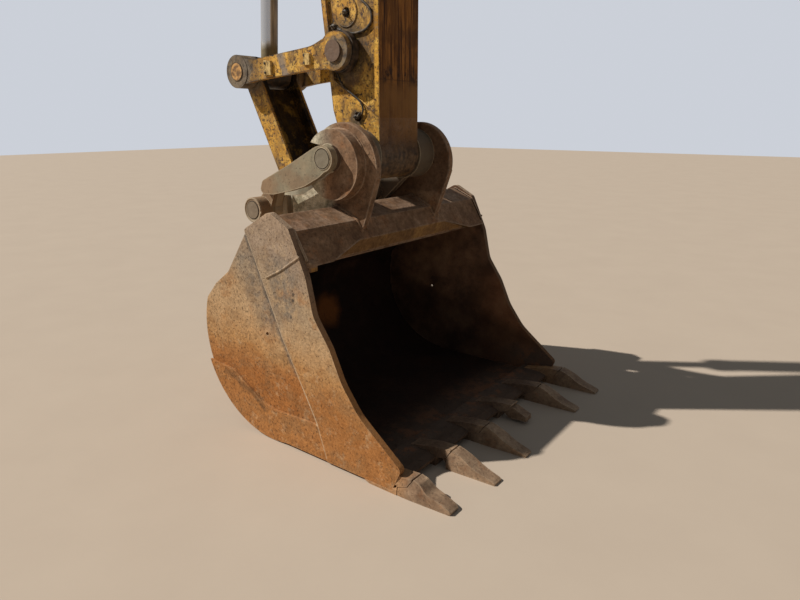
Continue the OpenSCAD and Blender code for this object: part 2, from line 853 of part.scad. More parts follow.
// One worn tooth, whose cheeks run back under the adapter
module tooth_point(cheeks, wear) {
    tip = tooth_reach - wear;
    dip = 0.4 * wear;
    rear = [56, cheek + 0.5, 0];
    tail = cheeks ? [[5, -12, 4], [7, cheek - 18, 4], rear] : [[57, -12, 4], rear];
    difference() {
        intersection() {
            slab(-tooth_w, tooth_w) rounded(on_lip([each tail, [85, tooth_top, 3], [118, tooth_top - 10, 20],
                [156, 61 - dip, 60], [196, 39 - dip / 4, 60], [238, 22, 60], [tip - 18, 5 + dip / 2, 8],
                [tip, -4 + dip / 3, 5], [tip - 10, -12, 4]]));
            tooth_block(tooth_w / 2, 0, tip + past);
            translate([lip_x, 0, floor_z - 30]) linear_extrude(tooth_h + 60) rounded([[0, -tooth_w / 2, 0],
                [60, -tooth_w / 2, 60], [tip, -tip_w / 2, 14], [tip, tip_w / 2, 14], [60, tooth_w / 2, 60],
                [0, tooth_w / 2, 0]]);
        }
        tooth_nose(seat);
    }
}

module tooth_points() {
    color("#7d6247") on_stick_pin() for (i = [0 : teeth - 1]) if (i != lost - 1)
        translate([0, station(i), 0]) tooth_point(i != plain - 1, i == 0 ? near_wear : 0);
}

// Steel pipe along the barrel, with a port at either end
module cylinder_pipe() {
    pipe_x = -barrel_r - 30;
    ends = [-barrel_from - 90, -gland_at + gland_len + 60];
    color("#8d7430") on_cylinder() difference() {
        union() {
            for (z = ends) {
                translate([pipe_x, 0, z]) rotate([0, 90, 0]) cylinder(r = pipe_r + 6, h = -pipe_x);
                translate([pipe_x, 0, z]) sphere(pipe_r + 6);
            }
            translate([pipe_x, 0, ends[1]]) cylinder(r = pipe_r, h = ends[0] - ends[1]);
        }
        translate([0, 0, -gland_at]) cylinder(r = barrel_r + 0.3, h = gland_at);
    }
}

// Smooth curve through points, with steps between each two
function curve(p, steps) = let (n = len(p) - 1) [for (i = [0 : n - 1], k = [0 : steps - 1])
    let (t = k / steps, a = p[max(i - 1, 0)], b = p[i], c = p[i + 1], d = p[min(i + 2, n)])
    0.5 * (2 * b + (c - a) * t + (2 * a - 5 * b + 4 * c - d) * t * t + (3 * b - a - 3 * c + d) * t * t * t),
    p[n]];

// Round hose of radius r along a curve that never runs across the arm
module hose(route, r, sides = 8) {
    p = curve(route, 4);
    n = len(p) - 1;
    rings = [for (i = [0 : n])
        let (t = unit(p[min(i + 1, n)] - p[max(i - 1, 0)]), u = unit(cross(t, [0, 1, 0])), w = cross(t, u))
        for (k = [0 : sides - 1])
            let (a = 360 * k / sides) p[i] + r * (u * cos(a) + w * sin(a))];
    faces = [[for (k = [0 : sides - 1]) k], [for (k = [sides - 1 : -1 : 0]) n * sides + k],
        for (i = [0 : n - 1], k = [0 : sides - 1]) let (m = (k + 1) % sides)
            [i * sides + k, (i + 1) * sides + k, (i + 1) * sides + m, i * sides + m]];
    polyhedron(rings, faces);
}

// Routes of the two hoses, from the stick pin
upper_hose = [[-160, -152, 623], [-153, -152, 620], [-112, -152, 606], [-60, -152, 595], [-9, -152, 598],
    [27, -152, 608], [56, -152, 631], [66, -152, 659], [57, -152, 690], [30, -152, 719], [2, -152, 741],
    [-18, -152, 775], [-26, -152, 830], [-26, -152, 1200], [-26, -152, 1700], [-26, -152, 2200],
    [-26, -152, 2560]];
lower_hose = [[-177, -152, 616], [-182, -152, 560], [-187, -152, 510], [-184, -152, 455], [-172, -153, 420],
    [-154, -158, 394], [-118, -170, 349], [-66, -171, 314], [-22, -171, 287], [4, -171, 262],
    [18, -172, 232], [8, -172, 208], [-16, -172, 196]];

module grease_hoses() {
    color("#1d1b19") on_stick_pin() {
        hose(upper_hose, hose_r);
        hose(lower_hose, hose_r);
    }
}

// Tee, elbow, clips and top block of the grease hoses, all on the near side
module grease_fittings() {
    color("#8a7b55") on_stick_pin() {
        bar(grease_tee_at, 15, -half_flange - 5, -half_stick);
        bar(grease_hole_at, 9, -half_flange - 15, -half_flange + grease_hole_deep);
        bar(upper_hole_at, 9, -half_stick - 12, -half_stick + stick_side_t + 6);
        bar(upper_hole_at, grease_hole_r + 10, -half_stick + stick_side_t, -half_stick + stick_side_t + 6);
        for (z = [850 : 350 : 2300]) difference() {
            slab(-half_stick - 16, -half_stick) translate([-44, z]) square([36, 16]);
            translate([-26, -152, z - past]) cylinder(r = hose_r + 0.3, h = 16 + 2 * past);
        }
        slab(-half_stick - 30, -half_stick) translate([-50, 2560 + 0.3]) square([48, 90]);
    }
}

stick_side_left();
stick_side_right();
stick_belly();
stick_back();
stick_nose();
boom_boss();
idler_boss();
stick_ears();
cylinder_bracket();
idler_left();
idler_right();
idler_pin();
rod_end_pin();
bucket_link();
link_core_pin();
barrel();
barrel_eye();
gland();
bracket_pin();
rod();
rod_eye();
rod_core_pin();
coupler_frame();
coupler_collars();
coupler_stubs();
coupler_arm_left();
coupler_arm_right();
stick_pin();
link_pin();
hinge_plate_left();
hinge_plate_right();
hook_discs();
torque_tube();
shell();
side_plate_left();
side_plate_right();
side_doubler_left();
side_doubler_right();
lip();
tooth_adapters();
tooth_points();
heel_plates();
cylinder_pipe();
grease_fittings();
grease_hoses();
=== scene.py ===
"""Dipper arm of a crawler excavator with its bucket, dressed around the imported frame."""
import json
import math
import random

import bmesh
import bpy
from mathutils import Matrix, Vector


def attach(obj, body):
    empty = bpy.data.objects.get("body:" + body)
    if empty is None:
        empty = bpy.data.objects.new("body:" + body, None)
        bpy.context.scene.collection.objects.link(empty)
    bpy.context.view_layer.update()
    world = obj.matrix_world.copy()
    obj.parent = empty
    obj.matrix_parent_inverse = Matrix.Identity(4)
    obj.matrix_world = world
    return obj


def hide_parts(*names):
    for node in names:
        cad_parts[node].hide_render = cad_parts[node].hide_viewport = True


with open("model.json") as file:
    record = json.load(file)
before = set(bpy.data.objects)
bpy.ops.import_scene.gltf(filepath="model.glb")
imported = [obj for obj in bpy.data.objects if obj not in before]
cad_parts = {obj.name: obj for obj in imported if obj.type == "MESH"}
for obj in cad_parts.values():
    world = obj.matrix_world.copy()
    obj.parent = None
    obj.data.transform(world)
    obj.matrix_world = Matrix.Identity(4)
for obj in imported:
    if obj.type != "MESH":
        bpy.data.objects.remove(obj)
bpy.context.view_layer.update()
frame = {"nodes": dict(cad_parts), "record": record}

# Places of the frame, in metres
STICK_PIN = Vector((0.150, 0.0, -3.200))
FLOOR_Z = -4.587
MM = 0.001

# Places in X and Z, in millimetres from the stick pin
PIN = (0, 0)
IDLER_PIN = (-112, 510)
ROD_END = (-861, 444)
LINK_PIN = (-499, -285)
BOOM_PIN = (-150, 3200)
BOOM_BOSS_R = 151
BRACKET_PIN = (-647, 3050)
NOSE_HOLE = (-26, 195)
UPPER_HOLE = (-103, 696)
UPPER_PAD_R = 68
GREASE_TEE = (-177, 633)
CROSS_TUBE = (-232, -222)
CROSS_TUBE_R = 60
STUB_R = 66
PIN_RING_R = 51.5
LINK_RING_R = 62
DISC_AT = (0, -33)
DISC_R = 172
HEEL_AT = (-85, -880)
HEEL_R = 495
SHELL_THICK = 22
TUBE_TOP = [(-190, -335), (-20, -240), (111, -299)]
SIDE_SEAM = [(-192, -328), (-87, -554), (34, -822), (172, -1073), (240, -1200), (292, -1358)]

# Link's web, in millimetres: its ends from the rod end pin, its beads' foot from the link pin
WEB_TOP = 108
WEB_LOW = 300
WEB_FOOT = 92
WEB_HALF = 17

# Bucket cylinder, in metres: reaches along it from the bracket pin, and radii
GLAND_REACH = 1.8
BOLT_CIRCLE_R = 0.079
STRAP_REACHES = (0.55, 1.15)
STRAP_R = 0.0935

# Places across the arm, in millimetres from its middle
LINK_IN = 105
PLATE_OUT = 145
FRAME_IN = 210
IDLER_OUT = 240
HINGE_IN = 300
HINGE_OUT = 336
ARM_IN = 420
ARM_OUT = 460
LINK_RING_AT = 489
SIDE_IN = 768
SIDE_OUT = 784
BUCKET_OUT = 800

# Camera of the photograph, 800 x 600
FOCAL_PX = 620.0
FRAME_PX = 800.0
SENSOR_MM = 36.0
CAMERA_AT = STICK_PIN + Vector((2.152, -2.664, 0.18))
CAMERA_TURN = math.radians(37.31)
CAMERA_PITCH = math.radians(16.19)

# Sun; its direction is read off the bucket's shadow in the photograph
SUN_AZIMUTH = math.radians(216)
SUN_RISE = math.radians(43)
SUN_STRENGTH = 4.7
SUN_WIDTH = math.radians(0.9)
SUN_COLOR = (1.0, 0.96, 0.90)

# Sky and floor
SKY_STRENGTH = 0.19
SKY_LIGHT = (0.86, 0.93, 1.0, 1.0)
SKY_SEEN = (0.60, 0.63, 0.69, 1.0)
SKY_MIRRORED = (0.30, 0.30, 0.31, 1.0)
FLOOR_SIZE = 60

# Rounding of edges, and places round a ring
EDGE_ROUND = 0.003
SHARP_ANGLE = math.radians(40)
RING_STEPS = 48


def at_pin(x, y, z):
    """A point given in millimetres from the stick pin, in the part's frame."""
    return STICK_PIN + Vector((x, y, z)) * MM


def make_camera():
    """A camera where the photograph was taken from."""
    data = bpy.data.cameras.new("camera")
    camera = bpy.data.objects.new("camera", data)
    bpy.context.scene.collection.objects.link(camera)
    data.sensor_width = SENSOR_MM
    data.lens = FOCAL_PX / FRAME_PX * SENSOR_MM
    look = Vector((-math.sin(CAMERA_TURN) * math.cos(CAMERA_PITCH),
                   math.cos(CAMERA_TURN) * math.cos(CAMERA_PITCH), -math.sin(CAMERA_PITCH)))
    camera.location = CAMERA_AT
    camera.rotation_mode = "QUATERNION"
    camera.rotation_quaternion = look.to_track_quat("-Z", "Y")
    bpy.context.scene.camera = camera


class Look:
    """One procedural material, built from noise and from places in the part's own frame."""

    def __init__(self, name):
        self.mat = bpy.data.materials.new(name)
        self.mat.use_nodes = True
        self.tree = self.mat.node_tree
        self.shader = self.tree.nodes["Principled BSDF"]
        coords = self.new("ShaderNodeTexCoord")
        self.where = coords.outputs["Object"]
        from_pin = self.vector("SUBTRACT", self.where, tuple(STICK_PIN))
        self.x, self.y, self.z = self.split(from_pin)
        self.side = self.math("ABSOLUTE", self.y)
        self.normal = coords.outputs["Normal"]
        self.nx, self.ny, self.nz = self.split(self.normal)
        self.pin = from_pin
        self.torn = self.vector("ADD", from_pin, self.wander(9.0, 0.10))

    def wander(self, scale, reach):
        """A shift that changes from place to place, which tears the borders of masks."""
        node = self.new("ShaderNodeTexNoise")
        self.feed(self.where, node.inputs["Vector"])
        node.inputs["Scale"].default_value = scale
        node.inputs["Detail"].default_value = 5.0
        off = self.vector("SUBTRACT", node.outputs["Color"], (0.5, 0.5, 0.5))
        return self.vector("MULTIPLY", off, (reach, reach, reach))

    def new(self, kind, **settings):
        """A new node with its settings."""
        node = self.tree.nodes.new(kind)
        for key, value in settings.items():
            setattr(node, key, value)
        return node

    def feed(self, value, socket):
        """Links a socket, or sets a plain number or colour."""
        if isinstance(value, bpy.types.NodeSocket):
            self.tree.links.new(value, socket)
        elif isinstance(value, tuple) and len(value) == 3 and len(socket.default_value) == 4:
            socket.default_value = (*value, 1.0)
        else:
            socket.default_value = value

    def split(self, vector):
        """The X, Y and Z of a vector."""
        node = self.new("ShaderNodeSeparateXYZ")
        self.feed(vector, node.inputs[0])
        return node.outputs[0], node.outputs[1], node.outputs[2]

    def vector(self, operation, a, b=(0.0, 0.0, 0.0)):
        """A vector operation; those that measure give a number."""
        node = self.new("ShaderNodeVectorMath", operation=operation)
        self.feed(a, node.inputs[0])
        self.feed(b, node.inputs[1])
        return node.outputs["Value" if operation in ("DOT_PRODUCT", "LENGTH", "DISTANCE") else "Vector"]

    def math(self, operation, a, b=0.0, clamp=False):
        """An operation on numbers."""
        node = self.new("ShaderNodeMath", operation=operation, use_clamp=clamp)
        self.feed(a, node.inputs[0])
        self.feed(b, node.inputs[1])
        return node.outputs[0]

    def plus(self, a, b):
        return self.math("ADD", a, b)

    def less(self, a, b, clamp=False):
        return self.math("SUBTRACT", a, b, clamp)

    def times(self, a, b):
        return self.math("MULTIPLY", a, b)

    def both(self, *masks):
        """Where all masks hold."""
        out = masks[0]
        for mask in masks[1:]:
            out = self.times(out, mask)
        return out

    def any(self, *masks):
        """Where one mask or more holds."""
        out = masks[0]
        for mask in masks[1:]:
            out = self.math("MAXIMUM", out, mask)
        return out

    def noise(self, scale, detail=6.0, rough=0.6, stretch=(1.0, 1.0, 1.0), shift=(0.0, 0.0, 0.0), warp=0.0):
        """Noise in the part's frame, about 0.5 on average."""
        place = self.new("ShaderNodeMapping")
        self.feed(self.where, place.inputs["Vector"])
        place.inputs["Scale"].default_value = stretch
        place.inputs["Location"].default_value = shift
        node = self.new("ShaderNodeTexNoise")
        self.feed(place.outputs[0], node.inputs["Vector"])
        node.inputs["Scale"].default_value = scale
        node.inputs["Detail"].default_value = detail
        node.inputs["Roughness"].default_value = rough
        node.inputs["Distortion"].default_value = warp
        return node.outputs["Fac"]

    def band(self, value, low, high, out_low=0.0, out_high=1.0):
        """Smooth step of a value between low and high."""
        node = self.new("ShaderNodeMapRange", interpolation_type="SMOOTHSTEP")
        self.feed(value, node.inputs["Value"])
        node.inputs["From Min"].default_value = low
        node.inputs["From Max"].default_value = high
        node.inputs["To Min"].default_value = out_low
        node.inputs["To Max"].default_value = out_high
        return node.outputs["Result"]

    def fall(self, value, low, high):
        """1 below low and 0 above high."""
        return self.band(value, low, high, 1.0, 0.0)

    def within(self, value, low, high, soft):
        """1 where a value lies between low and high."""
        rise = self.band(value, low - soft, low + soft)
        return self.both(rise, self.fall(value, high - soft, high + soft))

    def ramp(self, value, stops):
        """A colour for each value, from stops of (value, colour)."""
        node = self.new("ShaderNodeValToRGB")
        elements = node.color_ramp.elements
        while len(elements) < len(stops):
            elements.new(0.5)
        for element, (place, color) in zip(elements, stops):
            element.position = place
            element.color = (*color, 1.0)
        self.feed(value, node.inputs[0])
        return node.outputs[0]

    def mix(self, factor, a, b, blend="MIX"):
        """Colour a where the factor is 0, and b where it is 1."""
        node = self.new("ShaderNodeMix", data_type="RGBA", blend_type=blend)
        self.feed(factor, node.inputs["Factor"])
        self.feed(a, node.inputs[6])
        self.feed(b, node.inputs[7])
        return node.outputs[2]

    def coat(self, color, mask, tint, amount=1.0):
        """Lays a tint over a colour where the mask holds."""
        return self.mix(self.times(mask, amount), color, tint)

    def flat(self, torn):
        """The place in X and Z alone."""
        return self.vector("MULTIPLY", self.torn if torn else self.pin, (1.0, 0.0, 1.0))

    def from_line(self, points, torn=True):
        """Distance in X and Z from a line through points given in millimetres."""
        flat = self.flat(torn)
        out = None
        for (ax, az), (bx, bz) in zip(points, points[1:]):
            run = Vector((bx - ax, 0.0, bz - az)) * MM
            off = self.vector("SUBTRACT", flat, (ax * MM, 0.0, az * MM))
            ahead = self.vector("DOT_PRODUCT", off, tuple(run))
            share = self.math("DIVIDE", ahead, run.length_squared, clamp=True)
            spread = self.new("ShaderNodeVectorMath", operation="SCALE")
            spread.inputs[0].default_value = run
            self.feed(share, spread.inputs["Scale"])
            length = self.vector("LENGTH", self.vector("SUBTRACT", off, spread.outputs[0]))
            out = length if out is None else self.math("MINIMUM", out, length)
        return out

    def streak(self, points, inner, outer, torn=True):
        """1 along a line in X and Z, with its widths in millimetres."""
        return self.fall(self.from_line(points, torn), inner * MM, outer * MM)

    def from_axis(self, place, torn):
        """Distance from an axis across the arm."""
        return self.vector("DISTANCE", self.flat(torn), (place[0] * MM, 0.0, place[1] * MM))

    def disc(self, place, inner, outer, torn=True):
        """1 round an axis across the arm."""
        return self.fall(self.from_axis(place, torn), inner * MM, outer * MM)

    def circle(self, place, radius, half):
        """1 on a thin ring round an axis across the arm."""
        away = self.from_axis(place, False)
        return self.within(away, (radius - half) * MM, (radius + half) * MM, 0.4 * half * MM)

    def edge(self, radius):
        """How far the surface is from flat within a small radius, so 1 on sharp edges."""
        bevel = self.new("ShaderNodeBevel", samples=4)
        bevel.inputs["Radius"].default_value = radius
        flat = self.new("ShaderNodeNewGeometry")
        same = self.vector("DOT_PRODUCT", bevel.outputs[0], flat.outputs["Normal"])
        return self.band(same, 0.999, 0.90)

    def finish(self, color, roughness, height=None, depth=0.001, metallic=None, gloss=0.35):
        """Feeds the shader, with the bumps' depth in metres, and returns the material."""
        self.feed(color, self.shader.inputs["Base Color"])
        self.feed(roughness, self.shader.inputs["Roughness"])
        self.shader.inputs["Specular IOR Level"].default_value = gloss
        if metallic is not None:
            self.feed(metallic, self.shader.inputs["Metallic"])
        if height is not None:
            bump = self.new("ShaderNodeBump")
            bump.inputs["Distance"].default_value = depth
            self.feed(height, bump.inputs["Height"])
            self.feed(bump.outputs[0], self.shader.inputs["Normal"])
        return self.mat


def rubbed_brown(k):
    """Brown of the arm's front, with runs down the plate and nearly black at its foot."""
    runs = k.noise(4.0, 9.0, 0.70, (1.0, 8.0, 0.30))
    broad = k.noise(7.0, 7.0, 0.62, (1.0, 1.3, 0.8), (3.0, 3.0, 3.0))
    color = k.ramp(runs, [(0.40, (0.032, 0.012, 0.004)), (0.47, (0.130, 0.048, 0.010)),
                          (0.53, (0.340, 0.140, 0.030)), (0.60, (0.090, 0.032, 0.007))])
    color = k.coat(color, k.band(broad, 0.48, 0.58), (0.075, 0.029, 0.008), 0.60)
    sides = k.band(k.side, 0.085, 0.150)
    color = k.coat(color, k.both(sides, k.band(broad, 0.38, 0.52)), (0.055, 0.020, 0.006), 0.6)
    smooth = k.fall(k.z, 0.30, 0.42)
    cast = k.mix(k.band(broad, 0.36, 0.62), (0.135, 0.060, 0.018), (0.225, 0.105, 0.030))
    color = k.coat(color, smooth, cast, 0.8)
    color = k.coat(color, k.both(smooth, k.band(k.y, 0.02, 0.16)), (0.26, 0.125, 0.036), 0.6)
    foot = k.fall(k.z, -0.03, 0.17)
    color = k.coat(color, foot, (0.026, 0.015, 0.010), 0.85)
    seam = k.within(k.z, 0.371, 0.377, 0.002)
    stain = k.both(k.within(k.z, 0.36, 0.44, 0.02), k.band(k.noise(22.0, 7.0, 0.7), 0.50, 0.60))
    return k.coat(color, k.any(k.times(seam, 0.5), stain), (0.024, 0.011, 0.006), 0.85)


def enamel(k):
    """Yellow enamel with dirt film, scuffs and chips, and a mask of the bare places."""
    tone = k.ramp(k.noise(7.0, 8.0, 0.66), [
        (0.36, (0.34, 0.155, 0.018)), (0.48, (0.54, 0.275, 0.034)), (0.62, (0.74, 0.42, 0.075))])
    film = k.band(k.noise(9.0, 9.0, 0.72, (1.0, 1.0, 0.45), (2.0, 0.0, 5.0)), 0.47, 0.62)
    tone = k.coat(tone, film, (0.15, 0.080, 0.026), 0.80)
    bright = k.band(k.noise(13.0, 8.0, 0.74, shift=(5.0, 5.0, 0.0)), 0.52, 0.62)
    tone = k.coat(tone, bright, (0.80, 0.50, 0.105), 0.7)
    scuffs = k.band(k.noise(19.0, 9.0, 0.76, (0.5, 1.0, 1.5), (0.0, 3.0, 1.0)), 0.55, 0.62)
    tone = k.coat(tone, scuffs, (0.27, 0.165, 0.075), 0.75)
    chips = k.band(k.noise(30.0, 9.0, 0.72), 0.575, 0.610)
    specks = k.band(k.noise(80.0, 6.0, 0.66, (1.0, 1.0, 0.7), (1.0, 2.0, 3.0)), 0.60, 0.64)
    scratches = k.band(k.noise(26.0, 6.0, 0.6, (3.0, 1.0, 0.35), (6.0, 1.0, 0.0), 0.8), 0.635, 0.66)
    rubbed = k.plus(k.times(k.edge(0.014), 0.55), k.noise(30.0, 8.0, 0.7))
    worn = k.band(rubbed, 0.82, 0.96)
    nicks = k.band(k.noise(48.0, 9.0, 0.8, (1.0, 1.0, 1.3), (2.0, 7.0, 1.0)), 0.565, 0.60)
    bare = k.any(chips, specks, scratches, nicks, worn)
    rust = k.mix(k.band(k.noise(50.0, 5.0), 0.42, 0.60), (0.030, 0.018, 0.011), (0.13, 0.062, 0.026))
    return k.mix(bare, tone, rust), bare


def between_idlers(k):
    """1 between the idlers, so on the stick and the link."""
    return k.fall(k.side, 0.198, 0.202)


def stick_grease_and_shade(k, color, grease):
    """Grease and smudges round the stick's bosses and holes, with painted shade in the grease round the
    idler boss and a painted shadow beside the upper pad.
    """
    inner = between_idlers(k)
    # The grease round the idler boss is partly painted shade cast by the boss.
    color = k.coat(color, k.both(inner, k.disc(IDLER_PIN, 110, 205)), grease, 0.80)
    color = k.coat(color, k.both(inner, k.disc(NOSE_HOLE, 26, 62)), grease, 0.85)
    smudge = k.band(k.noise(24.0, 9.0, 0.76, (1.0, 1.0, 0.8), (9.0, 4.0, 2.0)), 0.50, 0.56)
    near_boss = k.any(k.disc((10, 520), 70, 190), k.disc((30, 230), 50, 150), k.disc((-160, 400), 20, 90))
    color = k.coat(color, k.both(inner, smudge, near_boss), (0.030, 0.019, 0.009), 0.60)
    color = k.coat(color, k.both(inner, k.disc(UPPER_HOLE, 16, 36)), grease, 0.6)
    # Painted shadow of the upper pad, in the grease colour, on the plate beside the pad.
    painted_pad_shadow = k.both(inner, k.disc((-80, 690), 70, 88))
    pad = k.disc(UPPER_HOLE, 64, 72, False)
    return k.coat(color, k.less(painted_pad_shadow, pad, clamp=True), grease, 0.22)


def idler_dirt(k, color, grease, lumps):
    """Grey grease round the idlers' pins, and two marks across the idlers."""
    outer = k.less(1.0, between_idlers(k))
    grey = k.mix(k.band(lumps, 0.36, 0.64), (0.060, 0.050, 0.040), (0.17, 0.140, 0.105))
    color = k.coat(color, k.disc(ROD_END, 92, 150), grey, 0.90)
    color = k.coat(color, k.both(outer, k.disc((-84, 500), 62, 92)), grey, 0.80)
    pale_mark = k.streak([(-520, 535), (-455, 400)], 17, 34)
    color = k.coat(color, k.both(outer, pale_mark), (0.21, 0.17, 0.14), 0.85)
    dark_mark = k.streak([(-700, 390), (-740, 520)], 14, 60)
    return k.coat(color, k.both(outer, dark_mark), grease, 0.55)


def inside_link(k):
    """1 between the sides of the bucket link."""
    return k.both(k.fall(k.x, -0.32, -0.28), k.within(k.z, -0.42, 0.54, 0.01), k.fall(k.side, 0.128, 0.149))


def link_dirt_and_shade(k, color, inside):
    """Olive and black dirt inside the link, darkened as painted shade between its sides, and dust on its
    sides.
    """
    # Between the link's sides the colour is nearly black: dirt with painted shade.
    lit = k.band(k.noise(11.0, 9.0, 0.76), 0.47, 0.60)
    olive = k.mix(lit, (0.010, 0.007, 0.005), (0.150, 0.090, 0.018))
    black = k.band(k.noise(5.0, 6.0, 0.6, shift=(6.0, 1.0, 2.0)), 0.42, 0.54)
    olive = k.coat(olive, black, (0.006, 0.004, 0.003), 0.8)
    color = k.coat(color, inside, olive, 0.97)
    on_sides = k.both(k.fall(k.x, -0.34, -0.30), k.within(k.side, 0.150, 0.200, 0.002))
    dust = k.band(k.noise(12.0, 9.0, 0.74, shift=(8.0, 0.0, 3.0)), 0.44, 0.58)
    return k.coat(color, k.both(on_sides, dust), (0.16, 0.105, 0.050), 0.8)


def yellow_paint():
    """The enamel of stick, idlers, link and barrel, with the grease and dirt of each and painted shade
    round the idler boss, by the upper pad and inside the link.
    """
    k = Look("yellow_paint")
    color, bare = enamel(k)
    lumps = k.noise(26.0, 7.0, 0.65)
    grease = k.mix(k.band(lumps, 0.38, 0.66), (0.022, 0.016, 0.012), (0.125, 0.085, 0.048))
    color = stick_grease_and_shade(k, color, grease)
    color = idler_dirt(k, color, grease, lumps)
    inside = inside_link(k)
    color = link_dirt_and_shade(k, color, inside)
    front = k.both(k.band(k.nx, 0.45, 0.7), k.fall(k.z, 0.30, 0.34), k.band(k.x, -0.30, -0.26))
    color = k.mix(front, color, rubbed_brown(k))
    brown_grease = k.mix(k.band(lumps, 0.38, 0.64), (0.040, 0.024, 0.013), (0.17, 0.100, 0.050))
    at_nose = k.both(between_idlers(k), k.fall(k.z, -0.02, 0.10), k.band(k.x, -0.35, -0.25))
    color = k.coat(color, at_nose, brown_grease, 0.9)
    height = k.less(k.times(k.noise(110.0, 5.0, 0.65), 0.4), k.times(bare, 0.6))
    k.finish(color, k.band(k.noise(20.0), 0.3, 0.7, 0.45, 0.75), height, 0.0016)
    k.feed(k.band(inside, 0.0, 1.0, 0.32, 0.06), k.shader.inputs["Specular IOR Level"])
    return k.mat


def polished_rust():
    """Belly plate: rubbed brown in front, enamel on its edges."""
    k = Look("polished_rust")
    paint, _ = enamel(k)
    on_edge = k.band(k.math("ABSOLUTE", k.ny), 0.5, 0.8)
    color = k.mix(on_edge, rubbed_brown(k), paint)
    height = k.noise(70.0, 7.0, 0.65, (1.0, 4.0, 0.5))
    return k.finish(color, k.band(height, 0.3, 0.7, 0.50, 0.68), height, 0.0012, gloss=0.12)


def greasy_steel():
    """Pins and hubs: nearly black grease with dust in it, and brown pin ends."""
    k = Look("greasy_steel")
    lumps = k.noise(30.0, 7.0, 0.65)
    color = k.mix(k.band(lumps, 0.40, 0.68), (0.020, 0.015, 0.012), (0.11, 0.070, 0.042))
    pin_end = k.mix(k.noise(40.0, 6.0), (0.085, 0.052, 0.034), (0.20, 0.125, 0.080))
    color = k.coat(color, k.both(k.disc(IDLER_PIN, 50, 53, False), k.band(k.side, 0.2405, 0.2415)), pin_end)
    orange = k.mix(k.band(k.noise(36.0, 6.0), 0.40, 0.62), (0.17, 0.090, 0.035), (0.56, 0.30, 0.095))
    cap = k.both(k.disc(ROD_END, 42, 50, False), k.band(k.side, 0.2435, 0.2445))
    color = k.coat(color, cap, orange)
    sleeve = k.both(k.disc(LINK_PIN, 120, 125, False), k.band(k.side, 0.40, 0.41))
    dusty = k.mix(k.noise(25.0, 6.0), (0.13, 0.092, 0.058), (0.26, 0.20, 0.135))
    color = k.coat(color, sleeve, dusty)
    arm_eye = k.both(k.disc(PIN, 60, 62, False), k.band(k.side, 0.455, 0.459))
    color = k.coat(color, arm_eye, k.mix(k.noise(18.0, 6.0), (0.15, 0.125, 0.085), (0.25, 0.205, 0.14)))
    stub = k.both(k.disc(PIN, 72, 76, False), k.within(k.side, 0.30, 0.44, 0.004))
    color = k.coat(color, stub, k.mix(lumps, (0.060, 0.036, 0.022), (0.17, 0.105, 0.065)))
    return k.finish(color, k.band(lumps, 0.35, 0.65, 0.45, 0.80), lumps, 0.004)


def chrome():
    """Rod with dirty runs, a far side painted dark as shade, and an olive, greasy foot."""
    k = Look("chrome")
    runs = k.band(k.noise(16.0, 5.0, 0.6, (1.0, 1.0, 0.04)), 0.50, 0.62)
    foot = k.fall(k.plus(k.z, k.times(k.noise(18.0), 0.05)), 0.60, 0.66)
    color = k.mix(k.times(runs, 0.7), (0.80, 0.80, 0.81), (0.26, 0.185, 0.115))
    # The side turned away from the sun is painted dark brown and dull: painted shade, with thin dirty runs
    # in it.
    away = k.vector("DOT_PRODUCT", k.normal, (0.80, 0.60, 0.0))
    far = k.band(k.plus(away, k.times(runs, 0.25)), 0.22, 0.46)
    thin_runs = k.band(k.noise(30.0, 4.0, 0.6, (1.0, 1.0, 0.03)), 0.42, 0.60)
    color = k.coat(color, far, k.mix(thin_runs, (0.085, 0.060, 0.032), (0.30, 0.235, 0.155)), 0.9)
    color = k.mix(foot, color, k.mix(k.noise(40.0, 6.0), (0.10, 0.078, 0.034), (0.27, 0.20, 0.095)))
    rough = k.any(k.times(runs, 0.35), k.times(foot, 0.6), k.times(far, 0.3))
    metal = k.less(0.72, k.any(k.times(runs, 0.5), k.times(foot, 0.9), far))
    return k.finish(color, k.plus(rough, 0.13), metallic=metal, gloss=0.5)


